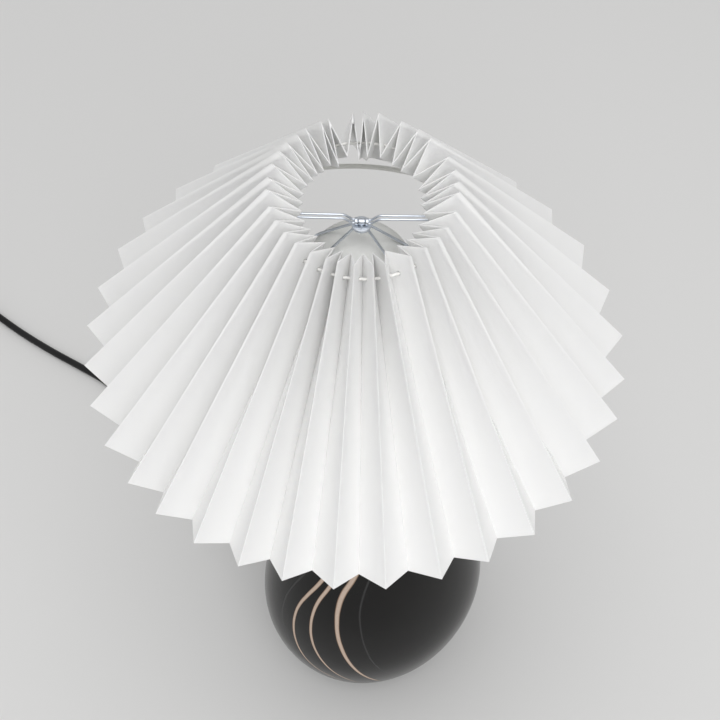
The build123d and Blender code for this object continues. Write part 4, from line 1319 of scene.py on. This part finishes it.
def cord_length(cord: bpy.types.Object) -> float:
    """Measure a curve's line on its evaluated form.

    Args:
        cord: The curve.

    Returns:
        Its length in metres.
    """
    holder = linked("measure", cord.data.copy())
    holder.data.bevel_depth = 0.0
    mesh = holder.evaluated_get(bpy.context.evaluated_depsgraph_get()).to_mesh()
    places = [vert.co for vert in mesh.vertices]
    length = sum((places[edge.vertices[0]] - places[edge.vertices[1]]).length for edge in mesh.edges)
    bpy.data.objects.remove(holder)
    return round(length, 3)


# ---- light and camera ----------------------------------------------------------------------------


@dataclass
class Studio:
    """Pale floor, soft light and the camera at the photograph's angle."""

    eye: tuple = (0.0228, -0.4139, 1.0439)
    look: tuple = (-0.02983, 0.53323, -0.84545)
    roll: float = radians(-1.2)
    lens: float = 67.915
    sensor: float = 36.0
    nearest: float = 0.02
    sky: float = 0.645
    # each lamp's name, place, side of its square and power in watts
    lamps: tuple = (("key", (0.35, -1.3, 1.8), 1.3, 12.0), ("top", (0.05, -0.25, 2.0), 0.9, 6.5))
    aim: tuple = (0, 0, 0.3)
    floor_side: float = 14.0
    floor_pale: Colour = (0.735, 0.733, 0.728)
    floor_cloud: Colour = (0.725, 0.723, 0.717)

    def _camera(self) -> None:
        """Place the camera."""
        data = bpy.data.cameras.new("view")
        data.lens = self.lens
        data.sensor_width = self.sensor
        data.clip_start = self.nearest
        camera = linked("view", data)
        ahead = Vector(self.look).normalized()
        level = ahead.cross(Vector((0, 0, 1))).normalized()
        upright = level.cross(ahead)
        right = level * cos(self.roll) + upright * sin(self.roll)
        up = right.cross(ahead)
        turn = Matrix((right, up, -ahead)).transposed()
        camera.matrix_world = Matrix.Translation(self.eye) @ turn.to_4x4()
        bpy.context.scene.camera = camera

    def _floor(self) -> None:
        """Lay the floor, wide enough to fill every view."""
        let_go()
        bpy.ops.mesh.primitive_plane_add(size=self.floor_side, location=(0, 0, 0))
        floor = bpy.context.object
        floor.name = "floor"
        shader = Shader("floor")
        tone = shader.mix(shader.noise(shader.place(), 1.4, 2.0), self.floor_pale, self.floor_cloud)
        floor.data.materials.append(shader.finish(Base_Color=tone, Roughness=0.9, Specular_IOR_Level=0.1))

    def _lamp(self, name: str, place: tuple, size: float, power: float) -> None:
        """Hang one soft light.

        Args:
            name: Its name.
            place: Where it hangs.
            size: Side of its square.
            power: Its power in watts.
        """
        data = bpy.data.lights.new(name, "AREA")
        data.size = size
        data.energy = power
        light = linked(name, data)
        light.location = place
        light.rotation_euler = (Vector(self.aim) - Vector(place)).to_track_quat("-Z", "Y").to_euler()

    def _sky(self) -> None:
        """Surround the scene with even pale light."""
        world = bpy.data.worlds.new("studio")
        bpy.context.scene.world = world
        world.use_nodes = True
        sky = world.node_tree.nodes["Background"]
        sky.inputs["Color"].default_value = (1.0, 1.0, 1.0, 1.0)
        sky.inputs["Strength"].default_value = self.sky

    def build(self) -> None:
        """Set up camera, floor and light."""
        bpy.context.scene.view_settings.view_transform = "Standard"
        self._camera()
        self._floor()
        self._sky()
        for lamp in self.lamps:
            self._lamp(*lamp)


def main() -> None:
    """Build the lamp and its studio."""
    logging.basicConfig(level=logging.INFO, format="%(name)s: %(message)s")
    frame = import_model()
    finishes = {recipe.name: recipe.make() for recipe in RECIPES}
    for assembly in (CeramicBase, LampHolder, Bulb, SpringClip, PleatedShade, PowerCord):
        assembly(frame, finishes).build()
    Studio().build()


if __name__ == "__main__":
    main()
